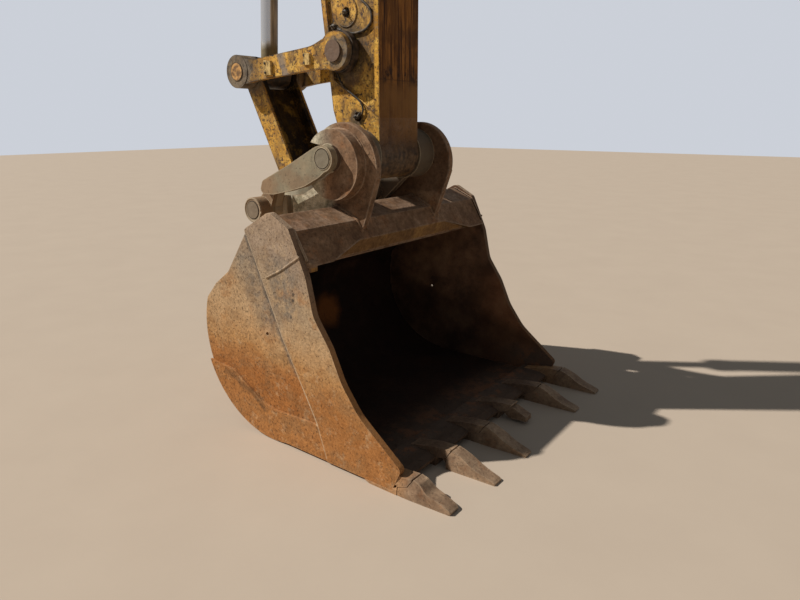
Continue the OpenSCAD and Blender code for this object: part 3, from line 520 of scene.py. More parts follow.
def coupler_paint():
    """Grey-green worn paint with dust, brown at the arms' tips, a painted highlight on the lug and painted
    shade in the middle between the hinge plates.
    """
    k = Look("coupler_paint")
    tone = k.ramp(k.noise(7.0, 8.0, 0.62), [
        (0.34, (0.18, 0.160, 0.110)), (0.50, (0.27, 0.225, 0.145)), (0.68, (0.36, 0.290, 0.185))])
    brown = k.band(k.noise(5.0, 7.0, 0.62, shift=(3.0, 1.0, 2.0)), 0.46, 0.66)
    tone = k.coat(tone, brown, (0.22, 0.135, 0.072), 0.65)
    on_arm = k.band(k.side, 0.405, 0.41)
    tone = k.coat(tone, k.both(on_arm, k.disc((-470, -190), 60, 190)), (0.26, 0.125, 0.052), 0.55)
    # Pale patch on the lug: painted sunlight.
    lug = k.both(k.fall(k.side, 0.385, 0.395), k.fall(k.x, -0.42, -0.38))
    tone = k.coat(tone, lug, (0.46, 0.40, 0.29), 0.75)
    # Dark in the middle, between the hinge plates: painted shade.
    middle = k.both(k.fall(k.side, 0.295, 0.30), k.band(k.x, -0.34, -0.28))
    tone = k.coat(tone, middle, (0.075, 0.050, 0.032), 0.75)
    pits = k.band(k.noise(60.0, 7.0, 0.7), 0.58, 0.68)
    tone = k.coat(tone, pits, (0.10, 0.072, 0.048), 0.6)
    rubbed = k.plus(k.times(k.edge(0.010), 0.6), k.noise(40.0, 6.0, 0.7))
    color = k.mix(k.band(rubbed, 0.80, 0.96), tone, (0.42, 0.33, 0.22))
    faces = k.band(k.side, 0.455, 0.459)
    color = k.coat(color, k.both(faces, k.circle(PIN, 47.5, 3.0)), (0.060, 0.046, 0.032), 0.9)
    color = k.coat(color, k.circle(LINK_PIN, 47.5, 3.5), (0.030, 0.022, 0.016), 0.9)
    sleeve_end = k.both(k.band(k.side, 0.480, 0.486), k.circle(LINK_PIN, 59.0, 6.0))
    color = k.coat(color, sleeve_end, (0.36, 0.28, 0.19), 0.7)
    height = k.less(k.noise(90.0, 7.0, 0.7), k.times(pits, 0.5))
    return k.finish(color, 0.74, height, 0.0018)


def rust_grain(k, color, dark, amount, scale=46.0):
    """Adds the pitted grain that all rusted plates share; returns the colour and the grain's height."""
    fine = k.noise(scale, 9.0, 0.78)
    coarse = k.noise(15.0, 8.0, 0.74, shift=(2.0, 9.0, 4.0))
    plain = (1.0, 1.0, 1.0)
    fine_tone = k.ramp(fine, [(0.38, (0.48, 0.44, 0.41)), (0.50, plain), (0.62, (1.45, 1.42, 1.38))])
    coarse_tone = k.ramp(coarse, [(0.38, (0.62, 0.57, 0.52)), (0.50, plain), (0.62, (1.30, 1.32, 1.34))])
    color = k.mix(amount, color, fine_tone, "MULTIPLY")
    color = k.mix(0.7 * amount, color, coarse_tone, "MULTIPLY")
    pits = k.band(k.noise(70.0, 8.0, 0.74, shift=(5.0, 0.0, 1.0)), 0.575, 0.625)
    color = k.coat(color, pits, (0.075, 0.045, 0.028), dark)
    height = k.less(fine, k.times(pits, 0.6))
    return color, height


def side_rust(k):
    """Colours of the sides from top to bottom: grey-tan, tan and orange rust."""
    drift = k.times(k.less(k.noise(2.4, 6.0, 0.6, warp=0.5), 0.5), 0.62)
    depth = k.plus(k.less(drift, k.z), k.times(k.x, -0.12))
    color = k.ramp(k.math("DIVIDE", depth, 1.5), [
        (0.15, (0.40, 0.285, 0.195)), (0.28, (0.34, 0.250, 0.175)), (0.37, (0.38, 0.27, 0.165)),
        (0.50, (0.46, 0.295, 0.155)), (0.62, (0.42, 0.225, 0.088)), (0.74, (0.35, 0.145, 0.042)),
        (0.88, (0.38, 0.165, 0.052))])
    orange = k.band(k.noise(5.5, 9.0, 0.68, (1.0, 1.0, 1.5), (7.0, 2.0, 0.0)), 0.50, 0.66)
    color = k.coat(color, k.both(orange, k.fall(k.z, -0.62, -0.50)), (0.36, 0.155, 0.045), 0.6)
    patch = k.both(k.fall(k.side, 0.782, 0.790), k.streak([(-420, -1075), (150, -1120)], 60, 200))
    color = k.coat(color, patch, (0.32, 0.118, 0.030), 0.7)
    bloom = k.band(k.noise(16.0, 9.0, 0.76, shift=(0.0, 5.0, 9.0)), 0.53, 0.64)
    color = k.coat(color, bloom, (0.50, 0.35, 0.205), 0.45)
    stains = k.band(k.noise(6.5, 9.0, 0.76, (1.0, 1.0, 1.2), (3.0, 3.0, 8.0)), 0.50, 0.62)
    return k.coat(color, k.both(stains, k.band(k.side, 0.775, 0.780)), (0.235, 0.135, 0.062), 0.42)


def side_soot(k, color):
    """Brown on the upper corners of the sides and blue-grey soot beside their seams."""
    brown = k.band(k.noise(8.0, 8.0, 0.66, shift=(1.0, 8.0, 2.0)), 0.42, 0.64)
    color = k.coat(color, k.both(k.band(k.z, -0.60, -0.46), brown), (0.25, 0.175, 0.115), 0.5)
    soot = k.band(k.noise(22.0, 8.0, 0.72, shift=(4.0, 4.0, 0.0)), 0.38, 0.60)
    blue_grey = (0.125, 0.118, 0.108)
    behind = k.streak([(-235, -480), (-170, -600), (-60, -760)], 12, 120)
    on_doubler = k.band(k.side, 0.785, 0.79, 0.5, 0.9)
    color = k.coat(color, k.both(behind, k.any(soot, on_doubler)), blue_grey, 0.62)
    before = k.streak([(40, -500), (60, -640)], 30, 150)
    return k.coat(color, k.both(before, soot), blue_grey, 0.60)


def side_marks(k, color):
    """Lines along the seams of the sides, a scratch, three dark spots and the doubler's bright edge."""
    seam = k.streak([(-200, -345), (-104, -556), (17, -824), (96, -975)], 4, 34, False)
    patchy = k.band(k.noise(14.0, 7.0, 0.7, shift=(1.0, 0.0, 7.0)), 0.36, 0.56, 0.35, 1.0)
    color = k.coat(color, k.both(seam, patchy, k.band(k.side, 0.780, 0.782)), (0.080, 0.078, 0.075), 0.8)
    low_seam = k.streak([(118, -990), (172, -1080), (236, -1200)], 5, 13, False)
    color = k.coat(color, low_seam, (0.62, 0.47, 0.31), 0.6)
    scratch = k.streak([(-430, -1105), (-250, -1150), (-120, -1240)], 6, 26)
    color = k.coat(color, scratch, (0.13, 0.070, 0.032), 0.6)
    for place in ((126, -583), (118, -613), (99, -689)):
        color = k.coat(color, k.disc(place, 5, 14), (0.060, 0.050, 0.042), 0.8)
    bright_edge = k.both(k.streak(SIDE_SEAM, 3, 9, False), k.band(k.side, 0.792, 0.797))
    return k.coat(color, bright_edge, (0.55, 0.42, 0.28), 0.45)


def bucket_steel():
    """Sides and shell of the bucket: rusty outside, brown on the sides' rims with painted shade on the far
    rim, and dark inside.
    """
    k = Look("bucket_steel")
    color = side_marks(k, side_soot(k, side_rust(k)))
    color, height = rust_grain(k, color, 0.5, 0.55, 75.0)
    worn = k.both(k.edge(0.012), k.band(k.noise(24.0, 6.0), 0.36, 0.58), k.band(k.z, -1.0, -0.9, 0.35, 1.0))
    color = k.coat(color, worn, (0.50, 0.36, 0.23), 0.55)
    rim = k.both(k.band(k.nx, 0.35, 0.7), k.band(k.side, 0.766, 0.77))
    rim_color = k.mix(k.band(k.z, -0.9, -0.5), (0.32, 0.145, 0.050), (0.19, 0.115, 0.070))
    # The far rim is painted dark brown: painted shade.
    rim_color = k.mix(k.band(k.y, -0.1, 0.1), rim_color, (0.085, 0.046, 0.026))
    color = k.coat(color, rim, rim_color, 0.85)
    color = k.mix(inside_bucket(k), color, dark_inside(k))
    front = k.both(k.band(k.x, 0.60, 0.64), k.fall(k.z, -1.30, -1.27), k.fall(k.side, 0.764, 0.767))
    front_color = k.mix(k.noise(20.0, 6.0), (0.050, 0.032, 0.022), (0.13, 0.085, 0.058))
    color = k.coat(color, front, front_color, 0.9)
    return k.finish(color, k.band(height, 0.2, 0.7, 0.90, 0.66), height, 0.0030, gloss=0.15)


def inside_bucket(k):
    """1 on faces that look into the bucket."""
    to_middle = k.vector("SUBTRACT", (-0.02, 0.0, -0.86), k.pin)
    facing = k.vector("DOT_PRODUCT", k.vector("NORMALIZE", to_middle), k.normal)
    return k.both(k.band(facing, 0.02, 0.12), k.fall(k.side, 0.770, 0.775))


def dark_inside(k):
    """Dark brown of the hold, with lighter sides, an orange patch and dust and rust near the lip."""
    cloud = k.noise(4.0, 8.0, 0.66, shift=(2.0, 2.0, 2.0))
    hold = k.ramp(cloud, [(0.36, (0.010, 0.006, 0.005)), (0.52, (0.028, 0.013, 0.008)),
                          (0.68, (0.055, 0.026, 0.014))])
    plate = k.ramp(cloud, [(0.38, (0.085, 0.046, 0.028)), (0.52, (0.20, 0.105, 0.058)),
                           (0.64, (0.31, 0.175, 0.095))])
    on_side = k.band(k.side, 0.762, 0.766)
    color = k.mix(on_side, hold, plate)
    red = k.both(on_side, k.band(k.x, 0.05, 0.40), k.fall(k.z, -0.85, -0.65))
    color = k.coat(color, red, (0.33, 0.125, 0.048), 0.42)
    low = k.plus(k.z, k.times(k.x, 0.25))
    color = k.coat(color, k.fall(low, -1.03, -0.93), (0.020, 0.011, 0.008), 0.6)
    orange = k.fall(k.vector("DISTANCE", k.torn, (-0.545, 0.10, -1.00)), 0.05, 0.15)
    color = k.coat(color, orange, (0.30, 0.105, 0.025), 0.8)
    lip = k.both(k.band(k.x, 0.25, 0.60), k.fall(k.z, -1.25, -1.15))
    color = k.coat(color, lip, k.mix(k.noise(14.0, 7.0), (0.060, 0.045, 0.036), (0.19, 0.125, 0.085)), 0.8)
    rusty = k.band(k.noise(6.0, 8.0, 0.72, shift=(4.0, 6.0, 1.0)), 0.48, 0.58)
    return k.coat(color, k.both(lip, rusty), (0.26, 0.105, 0.045), 0.6)


def hinge_steel():
    """Torque tube and hinge plates: brown steel with lighter rims and dust on top, a pale tail partly
    painted light, and painted shade on the plates' inner faces.
    """
    k = Look("hinge_steel")
    color = k.ramp(k.noise(5.0, 9.0, 0.66, warp=0.3), [
        (0.32, (0.115, 0.060, 0.031)), (0.50, (0.20, 0.114, 0.062)), (0.68, (0.30, 0.190, 0.115))])
    rusty = k.band(k.noise(9.0, 8.0, 0.7, shift=(0.0, 6.0, 3.0)), 0.52, 0.66)
    color = k.coat(color, rusty, (0.255, 0.115, 0.048), 0.6)
    on_disc = k.band(k.side, 0.395, 0.399)
    color = k.coat(color, k.both(on_disc, k.disc((-70, -130), 50, 130)), (0.34, 0.185, 0.095), 0.7)
    color = k.coat(color, k.both(on_disc, k.disc((-70, 75), 40, 110)), (0.27, 0.215, 0.155), 0.7)
    # Pale greenish patch on the tail of the hinge plates: the coupler's pale paint, brightened as painted
    # sunlight where the arm shades it.
    tail = k.both(k.fall(k.x, -0.10, -0.02), k.band(k.z, -0.34, -0.30))
    pale = k.ramp(k.noise(16.0, 8.0, 0.7), [(0.38, (0.27, 0.245, 0.165)), (0.60, (0.62, 0.56, 0.42))])
    color = k.coat(color, k.both(tail, k.within(k.side, 0.333, 0.405, 0.002)), pale, 0.9)
    dust = k.both(k.band(k.nz, 0.55, 0.85), k.band(k.noise(12.0, 7.0, 0.65), 0.36, 0.62))
    color = k.coat(color, dust, (0.34, 0.235, 0.165), 0.55)
    under = k.both(k.fall(k.nz, -0.3, -0.1), k.fall(k.side, 0.764, 0.766), k.fall(k.z, -0.40, -0.36))
    ochre = k.mix(k.band(k.noise(5.0, 4.0), 0.42, 0.62), (0.20, 0.105, 0.038), (0.31, 0.165, 0.050))
    color = k.coat(color, under, ochre, 0.9)
    # Inner faces of the hinge plates above the tube are darkened: painted shade between the plates.
    inner = k.both(k.fall(k.side, 0.304, 0.308), k.band(k.z, -0.23, -0.20))
    color = k.coat(color, inner, (0.085, 0.048, 0.028), 0.6)
    color, height = rust_grain(k, color, 0.45, 0.6)
    worn = k.both(k.edge(0.014), k.band(k.noise(22.0, 6.0), 0.34, 0.56))
    color = k.coat(color, worn, (0.40, 0.285, 0.195), 0.7)
    return k.finish(color, k.band(height, 0.2, 0.7, 0.85, 0.60), height, 0.0022, gloss=0.18)


def tooth_steel():
    """Worn cast teeth: tan-brown, smooth on the wear faces, with painted shade on the backs of the inner
    teeth.
    """
    k = Look("tooth_steel")
    color = k.ramp(k.noise(9.0, 8.0, 0.65), [
        (0.33, (0.155, 0.095, 0.058)), (0.50, (0.27, 0.175, 0.108)), (0.66, (0.36, 0.245, 0.155))])
    rusty = k.band(k.noise(13.0, 8.0, 0.7, shift=(0.0, 6.0, 3.0)), 0.54, 0.66)
    color = k.coat(color, rusty, (0.27, 0.115, 0.045), 0.35)
    back = k.fall(k.x, 0.70, 0.79)
    outer = k.band(k.side, 0.68, 0.74)
    color = k.coat(color, k.both(back, outer), (0.40, 0.215, 0.095), 0.8)
    # Backs of the inner teeth are darkened: painted shade.
    shaded = k.both(back, k.less(1.0, outer))
    color = k.coat(color, shaded, (0.105, 0.062, 0.040), 0.65)
    color, height = rust_grain(k, color, 0.3, 0.45, 60.0)
    worn = k.both(k.edge(0.014), k.band(k.noise(25.0, 6.0), 0.36, 0.58))
    color = k.coat(color, k.both(worn, k.band(k.x, 0.74, 0.82, 0.15, 1.0)), (0.48, 0.36, 0.25), 0.45)
    return k.finish(color, k.band(height, 0.2, 0.7, 0.75, 0.55), height, 0.0018, gloss=0.2)


def fitting_metal():
    """Dusty zinc fittings, dark with grease in places."""
    k = Look("fitting_metal")
    lumps = k.noise(60.0, 6.0, 0.65)
    color = k.ramp(lumps, [(0.42, (0.020, 0.016, 0.012)), (0.55, (0.075, 0.058, 0.040)),
                           (0.66, (0.32, 0.27, 0.19))])
    return k.finish(color, k.band(lumps, 0.35, 0.65, 0.7, 0.4), lumps, 0.0015, gloss=0.5)


def hose_rubber():
    """Black rubber with dust on it."""
    k = Look("hose_rubber")
    dusty = k.band(k.noise(30.0, 6.0, 0.65), 0.45, 0.68)
    color = k.mix(dusty, (0.022, 0.018, 0.014), (0.15, 0.105, 0.062))
    return k.finish(color, 0.68, k.noise(140.0, 3.0), 0.0006)


def tab_paint():
    """Dusty pale enamel of the small tabs on the idlers."""
    k = Look("tab_paint")
    dusty = k.band(k.noise(30.0, 7.0, 0.68), 0.42, 0.60)
    color = k.mix(dusty, (0.24, 0.15, 0.045), (0.62, 0.42, 0.15))
    return k.finish(color, 0.7, k.noise(90.0, 6.0), 0.001)


LOOKS = {look.__name__: look() for look in (
    yellow_paint, polished_rust, greasy_steel, chrome, coupler_paint, bucket_steel,
    hinge_steel, tooth_steel, fitting_metal, hose_rubber, tab_paint)}
BROWN_NODES = ("hinge_plate_left", "hinge_plate_right", "hook_discs", "torque_tube")


def round_off(piece, width):
    """Rounds the sharp edges of a piece a little."""
    bevel = piece.modifiers.new("worn edges", "BEVEL")
    bevel.width = width
    bevel.segments = 2
    bevel.limit_method = "ANGLE"
    bevel.angle_limit = SHARP_ANGLE


def dress_frame():
    """Gives each CAD node its material and slightly rounded edges."""
    for part in frame["record"]["subparts"]:
        node = frame["nodes"][part["node"]]
        look = "hinge_steel" if part["node"] in BROWN_NODES else part["material_slot"]
        node.data.materials.clear()
        node.data.materials.append(LOOKS[look])
        round_off(node, EDGE_ROUND)


def line(points, y):
    """Points in X and Z, in millimetres from the stick pin, as places of the frame at one y."""
    return [at_pin(x, y, z) for x, z in points]


def arc(place, radius, y, first, last, count):
    """Places on an arc round an axis across the arm, in degrees from X towards Z."""
    turns = [math.radians(first + (last - first) * i / count) for i in range(count + 1)]
    return [at_pin(place[0] + radius * math.cos(a), y, place[1] + radius * math.sin(a)) for a in turns]


def resample(path, step):
    """The same route with places about one step apart."""
    out = []
    for a, b in zip(path, path[1:]):
        count = max(1, round((b - a).length / step))
        out += [a.lerp(b, i / count) for i in range(count)]
    return out + [path[-1]]


def smooth_route(points, steps):
    """A smooth curve through points, with steps between each two."""
    last = len(points) - 1
    out = []
    for i in range(last):
        a, b, c, d = points[max(i - 1, 0)], points[i], points[i + 1], points[min(i + 2, last)]
        for step in range(steps):
            t = step / steps
            out.append(0.5 * (2 * b + (c - a) * t + (2 * a - 5 * b + 4 * c - d) * t * t
                              + (3 * b - a - 3 * c + d) * t * t * t))
    return out + [points[last]]


def full_turn(count, shift=0.0):
    """Evenly spaced turns in radians, all moved on by a share of one step."""
    return [2 * math.pi * (i + shift) / count for i in range(count)]


def around(place, across, up, radius, turns):
    """Places round an axis that stands square to the directions across and up."""
    return [place + radius * (across * math.cos(a) + up * math.sin(a)) for a in turns]


class Parts:
    """Gathers small closed meshes that make one piece."""

    def __init__(self, seed=1):
        self.points = []
        self.faces = []
        self.random = random.Random(seed)

    def add(self, points, faces):
        """Takes in one closed mesh."""
        first = len(self.points)
        self.points += points
        self.faces += [[first + i for i in face] for face in faces]

    def rings(self, points, sides):
        """Joins rings of points, each to the next, and closes both ends."""
        last = len(points) // sides - 1
        faces = []
        for i in range(last):
            for k in range(sides):
                m = (k + 1) % sides
                faces.append([i * sides + k, i * sides + m, (i + 1) * sides + m, (i + 1) * sides + k])
        faces.append(list(range(sides))[::-1])
        faces.append([last * sides + k for k in range(sides)])
        self.add(points, faces)

    def tube(self, path, radii, sides):
        """A round tube along a path, with a radius at each place and closed ends."""
        last = len(path) - 1
        across = Vector((0, 1, 0))
        if abs((path[1] - path[0]).normalized().y) > 0.9:
            across = Vector((1, 0, 0))
        points = []
        for i, place in enumerate(path):
            ahead = (path[min(i + 1, last)] - path[max(i - 1, 0)]).normalized()
            across = (across - ahead * across.dot(ahead)).normalized()
            points += around(place, across, ahead.cross(across), radii[i], full_turn(sides))
        self.rings(points, sides)

    def pipe(self, path, radius, sides):
        """A tube of one radius, in millimetres."""
        self.tube(path, [radius * MM] * len(path), sides)

    def weld(self, path, radius):
        """A rippled weld bead along a path, with its radius in millimetres."""
        path = resample(path, 0.8 * radius * MM)
        radii = [radius * MM * self.random.uniform(0.84, 1.10) for _ in path]
        radii[0] = radii[-1] = 0.5 * radius * MM
        self.tube(path, radii, 8)

    def turned(self, at, along, profile, sides):
        """A turned or hexagonal piece: (distance, radius) in millimetres along an axis from a place."""
        along = along.normalized()
        across = along.orthogonal().normalized()
        points = []
        for reach, radius in profile:
            place = at + along * (reach * MM)
            points += around(place, across, along.cross(across), radius * MM, full_turn(sides))
        self.rings(points, sides)

    def prism(self, outline, y0, y1):
        """An outline in X and Z, in millimetres from the stick pin, made solid from y0 to y1."""
        count = len(outline)
        points = line(outline, y0) + line(outline, y1)
        faces = [[i, (i + 1) % count, count + (i + 1) % count, count + i] for i in range(count)]
        faces += [list(range(count))[::-1], [count + i for i in range(count)]]
        self.add(points, faces)

    def build(self, name, body, look, slot=None, round_edges=0.0, smooth=True):
        """Makes the piece, which rides on its body and takes its look; the slot is not used."""
        mesh = bpy.data.meshes.new(name)
        mesh.from_pydata([tuple(p) for p in self.points], [], self.faces)
        work = bmesh.new()
        work.from_mesh(mesh)
        bmesh.ops.recalc_face_normals(work, faces=work.faces)
        work.to_mesh(mesh)
        work.free()
        mesh.materials.append(LOOKS[look])
        if smooth:
            mesh.shade_smooth()
        piece = bpy.data.objects.new(name, mesh)
        bpy.context.scene.collection.objects.link(piece)
        if round_edges:
            round_off(piece, round_edges)
        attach(piece, body)
        return piece


def make_bucket_welds():
    """Beads on the sides, round the shell's edges, and inside where the tube meets the sides."""
    parts = Parts(11)
    side_bead = [(-182, -350), *SIDE_SEAM[1:]]
    doubler_bead = [(-59, -532), (-16, -511), (41, -484), (110, -441), (172, -403)]
    back_bead = [(-463, -620), (-366, -549)]
    tube_bead = [*TUBE_TOP[1:], (186, -428)]
    inside = SIDE_IN - 3
    for side in (-1, 1):
        parts.weld(line(side_bead, side * (SIDE_OUT + 1.5)), 8)
        parts.weld(line(doubler_bead, side * (BUCKET_OUT - 1.0)), 6.5)
        parts.weld(line(back_bead, side * SIDE_IN), 6)
        parts.weld(arc(HEEL_AT, HEEL_R, side * SIDE_IN, 160, 262, 60), 6)
        parts.weld(line(tube_bead, side * inside), 7)
        parts.weld(arc(HEEL_AT, HEEL_R - SHELL_THICK - 2, side * inside, 165, 268, 50), 7)
    parts.build("bucket_welds", "bucket", "bucket_steel")


def make_hinge_welds():
    """Beads of the hinge plates and hook discs, and the ledge where the torque tube meets the near side."""
    parts = Parts(12)
    seam = [(-300, -472), *TUBE_TOP, (146, -359)]
    for side in (-1, 1):
        parts.weld(line(seam, side * (HINGE_OUT + 3)), 10)
        parts.weld(line(seam, side * (HINGE_IN - 3)), 9)
        parts.weld(arc(DISC_AT, DISC_R, side * (HINGE_OUT + 2), -140, 142, 60), 6)
    ledge = [(150, -406), (208, -436), (206, -474), (160, -468)]
    parts.prism(ledge, -SIDE_IN + 0.5, -SIDE_IN + 44)
    parts.build("hinge_welds", "bucket", "hinge_steel", "bucket_steel")


def make_coupler_rings():
    """Retaining rings round the pins' ends, and the beads of the coupler's cross tube and round stubs."""
    parts = Parts(13)
    for side in (-1, 1):
        parts.pipe(arc(LINK_PIN, LINK_RING_R, side * LINK_RING_AT, 0, 350, RING_STEPS), 4.5, 10)
        parts.pipe(arc(PIN, PIN_RING_R, side * ARM_OUT, 0, 352, RING_STEPS), 2.6, 8)
        parts.weld(arc(CROSS_TUBE, CROSS_TUBE_R + 1, side * (FRAME_IN - 1), 0, 355, 40), 7)
        parts.weld(arc(PIN, STUB_R + 1, side * (ARM_IN - 2), 60, 300, 40), 5)
    parts.build("coupler_rings", "bucket", "coupler_paint")


def make_stick_welds():
    """Long beads between the side plates and the thick plates, the nose, the boom boss and the bracket."""
    parts = Parts(14)
    front_bead = [(84, 213), (84, 3215)]
    back_bead = [(-185, 381), (-398, 2120), (-399, 3180)]
    nose_bead = [(84, 211), (-184, 379)]
    bracket_bead = [(-431, 2950), (-431, 3150)]
    for side in (-1, 1):
        y = side * (PLATE_OUT + 2)
        parts.weld(line(front_bead, y), 6)
        parts.weld(line(back_bead, y), 6)
        parts.weld(line(nose_bead, y), 8)
        parts.weld(arc(BOOM_PIN, BOOM_BOSS_R, y, 0, 356, 60), 8)
        parts.weld(arc(UPPER_HOLE, UPPER_PAD_R, side * (PLATE_OUT + 1), -130, 50, 30), 4)
        for plate_face in (62, 108):
            parts.weld(line(bracket_bead, side * plate_face), 8)
    parts.build("stick_welds", "stick", "yellow_paint")


def make_link_web():
    """Web of the bucket link up to the rod's eye, with its beads to the side plates."""
    parts = Parts(15)
    start, end = Vector(ROD_END), Vector(LINK_PIN)
    along = (end - start).normalized()
    over = Vector((-along.y, along.x))
    top, low, foot = start + along * WEB_TOP, start + along * WEB_LOW, end - along * WEB_FOOT
    half = over * WEB_HALF
    corners = [top + half, top - half, low - half, low + half]
    parts.prism([tuple(c) for c in corners], -LINK_IN - 1, LINK_IN + 1)
    for side in (-1, 1):
        for off in (-WEB_HALF - 4, WEB_HALF + 4):
            bead = [tuple(top + over * off), tuple(foot + over * off)]
            parts.weld(line(bead, side * (LINK_IN - 1)), 6)
    parts.build("link_web_upper", "link", "yellow_paint", round_edges=EDGE_ROUND, smooth=False)


# Routes of the two hoses, in millimetres from the stick pin
UPPER_HOSE = [(-160, -152, 623), (-153, -152, 620), (-112, -152, 606), (-60, -152, 595), (-9, -152, 598),
              (27, -152, 608), (56, -152, 631), (66, -152, 659), (57, -152, 690), (30, -152, 719),
              (2, -152, 741), (-18, -152, 775), (-26, -152, 830), (-26, -152, 1200), (-26, -152, 1700),
              (-26, -152, 2200), (-26, -152, 2560)]
LOWER_HOSE = [(-177, -152, 616), (-182, -152, 560), (-187, -152, 510), (-184, -152, 455), (-172, -153, 420),
              (-154, -158, 394), (-118, -170, 349), (-66, -171, 314), (-22, -171, 287), (4, -171, 262),
              (18, -172, 232), (8, -172, 208), (-16, -172, 196)]
HOSES = ((UPPER_HOSE, 6.5), (LOWER_HOSE, 4.5))

# Turned profiles in millimetres: reach along the axis and radius
SLEEVE = [(0, 6.5), (1, 9), (14, 9), (15, 8), (26, 8), (27, 6.5)]
HEXAGON = [(-9, 6), (-8, 11), (3, 11), (4, 7)]
NIPPLE_NUT = [(-3, 8), (-2.5, 12), (4, 12), (5, 8)]
NIPPLE = [(0, 9), (2, 9), (3, 6), (8, 5), (9, 3.4), (11, 3.4), (13, 4.6), (15, 4.2), (17, 2)]
TAB_BOLT = [(0, 5.5), (0, 6.8), (4, 6.8), (5, 5.5)]
GLAND_BOLT = [(-1, 11), (-0.5, 13), (8, 13), (10, 11)]
GLAND_RING = [(-1, 56), (2, 60), (5, 60), (8, 56)]

# Where a nipple stands, in X and Z, and the y of its nut
NIPPLES = ((UPPER_HOLE, -157), (NOSE_HOLE, -177), (GREASE_TEE, -167))


def make_hoses():
    """The two grease hoses, in place of their plain solids."""
    parts = Parts()
    for route, radius in HOSES:
        parts.pipe(smooth_route([at_pin(*p) for p in route], 8), radius, 14)
    piece = parts.build("grease_hose_pair", "stick", "hose_rubber")
    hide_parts("grease_hoses")


def make_hose_ends():
    """Crimped sleeves, hexagons and nipples of the grease lines."""
    parts = Parts()
    for route, _ in HOSES:
        places = [at_pin(*p) for p in route]
        for at, toward in ((places[0], places[2]), (places[-1], places[-3])):
            parts.turned(at, toward - at, SLEEVE, 20)
            parts.turned(at, toward - at, HEXAGON, 6)
    out = Vector((0, -1, 0))
    for (x, z), y in NIPPLES:
        at = at_pin(x, y, z)
        parts.turned(at, out, NIPPLE_NUT, 6)
        parts.turned(at + out * 4 * MM, out, NIPPLE, 20)
    parts.build("hose_ends", "stick", "fitting_metal", smooth=False)


def make_idler_tabs():
    """Two small bolted tabs outside each idler, each with a thicker strip beside it."""
    tabs = [(-626, 492, 412, 26, 36), (-318, 512, 450, 16, 34)]
    strips, bolts = Parts(), Parts()
    foot, tab_face, strip_face = IDLER_OUT - 0.5, IDLER_OUT + 9, IDLER_OUT + 15
    for side in (-1, 1):
        for x0, top, low, wide, gap in tabs:
            x1, x2, x3 = x0 + wide, x0 + wide + 1, x0 + wide + gap
            tab = [(x0, top), (x1, top - 2), (x1, low), (x0, low + 2)]
            strip = [(x2, top - 4), (x3, top - 6), (x3, low + 2), (x2, low + 2)]
            strips.prism(tab, side * foot, side * tab_face)
            strips.prism(strip, side * foot, side * strip_face)
            inset = 0.2 * (top - low)
            for z in (top - inset, low + inset):
                bolt_at = at_pin(x0 + wide / 2, side * tab_face, z)
                bolts.turned(bolt_at, Vector((0, side, 0)), TAB_BOLT, 6)
    strips.build("idler_tabs", "idlers", "tab_paint", "yellow_paint", EDGE_ROUND / 2, False)
    bolts.build("idler_tab_bolts", "idlers", "greasy_steel", smooth=False)


def make_cylinder_trim():
    """Bolts and a ring round the gland, and two straps round the barrel."""
    bolts, straps = Parts(), Parts()
    top = at_pin(BRACKET_PIN[0], 0, BRACKET_PIN[1])
    down = (at_pin(ROD_END[0], 0, ROD_END[1]) - top).normalized()
    across = Vector((0, 1, 0))
    back = down.cross(across)
    gland = top + down * GLAND_REACH
    for at in around(gland, across, back, BOLT_CIRCLE_R, full_turn(10, 0.5)):
        bolts.turned(at, down, GLAND_BOLT, 6)
    bolts.turned(gland, down, GLAND_RING, 40)
    bolts.build("gland_bolts", "cylinder_barrel", "greasy_steel", smooth=False)
    for reach in STRAP_REACHES:
        turns = [*full_turn(RING_STEPS), 2 * math.pi]
        straps.pipe(around(top + down * reach, across, back, STRAP_R, turns), 4, 8)
    straps.build("barrel_straps", "cylinder_barrel", "yellow_paint")


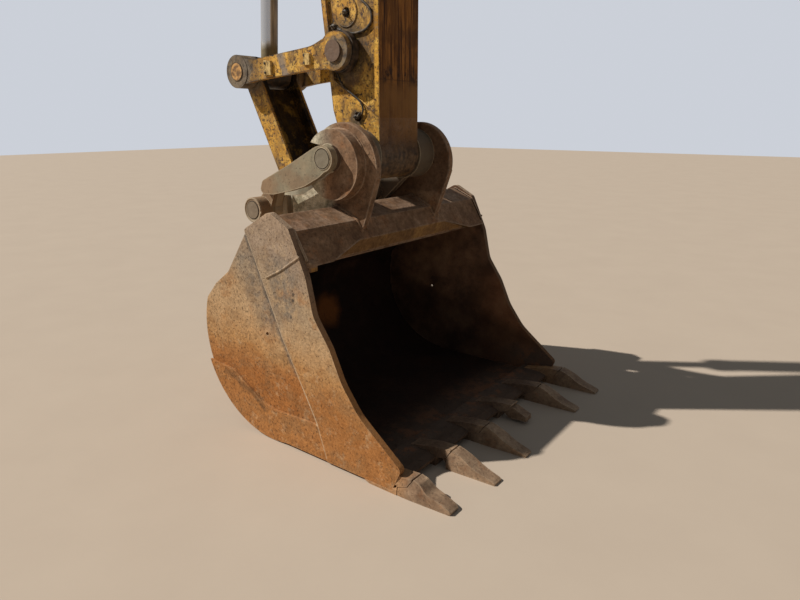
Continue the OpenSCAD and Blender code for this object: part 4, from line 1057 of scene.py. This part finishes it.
def make_floor():
    """Plain ground that takes the shadow."""
    bpy.ops.mesh.primitive_plane_add(size=FLOOR_SIZE, location=(0, 0, FLOOR_Z))
    floor = bpy.context.object
    floor.name = "floor"
    k = Look("floor")
    color = k.mix(k.noise(2.0, 8.0), (0.43, 0.35, 0.275), (0.48, 0.395, 0.31))
    floor.data.materials.append(k.finish(color, 0.9))


def make_sun():
    """The one lamp, a high sun from the camera's left."""
    data = bpy.data.lights.new("sun", "SUN")
    data.energy = SUN_STRENGTH
    data.angle = SUN_WIDTH
    data.color = SUN_COLOR
    sun = bpy.data.objects.new("sun", data)
    toward = Vector((math.cos(SUN_AZIMUTH) * math.cos(SUN_RISE),
                     math.sin(SUN_AZIMUTH) * math.cos(SUN_RISE), math.sin(SUN_RISE)))
    sun.rotation_mode = "QUATERNION"
    sun.rotation_quaternion = toward.to_track_quat("Z", "Y")
    bpy.context.scene.collection.objects.link(sun)


def make_sky():
    """A pale backdrop that gives little light of its own, so shade stays deep."""
    world = bpy.data.worlds.new("sky")
    bpy.context.scene.world = world
    world.use_nodes = True
    tree = world.node_tree
    light = tree.nodes["Background"]
    light.inputs[0].default_value = SKY_LIGHT
    light.inputs[1].default_value = SKY_STRENGTH
    path = tree.nodes.new("ShaderNodeLightPath")
    last = light
    for rays, color in (("Is Glossy Ray", SKY_MIRRORED), ("Is Camera Ray", SKY_SEEN)):
        shader = tree.nodes.new("ShaderNodeBackground")
        shader.inputs[0].default_value = color
        pick = tree.nodes.new("ShaderNodeMixShader")
        tree.links.new(path.outputs[rays], pick.inputs[0])
        tree.links.new(last.outputs[0], pick.inputs[1])
        tree.links.new(shader.outputs[0], pick.inputs[2])
        last = pick
    tree.links.new(last.outputs[0], tree.nodes["World Output"].inputs[0])


def make_stage():
    """Floor, sun and sky, seen without any colour curve."""
    make_floor()
    make_sun()
    make_sky()
    bpy.context.scene.view_settings.view_transform = "Standard"


make_camera()
make_stage()
dress_frame()
make_bucket_welds()
make_hinge_welds()
make_coupler_rings()
make_stick_welds()
make_link_web()
make_hoses()
make_hose_ends()
make_idler_tabs()
make_cylinder_trim()
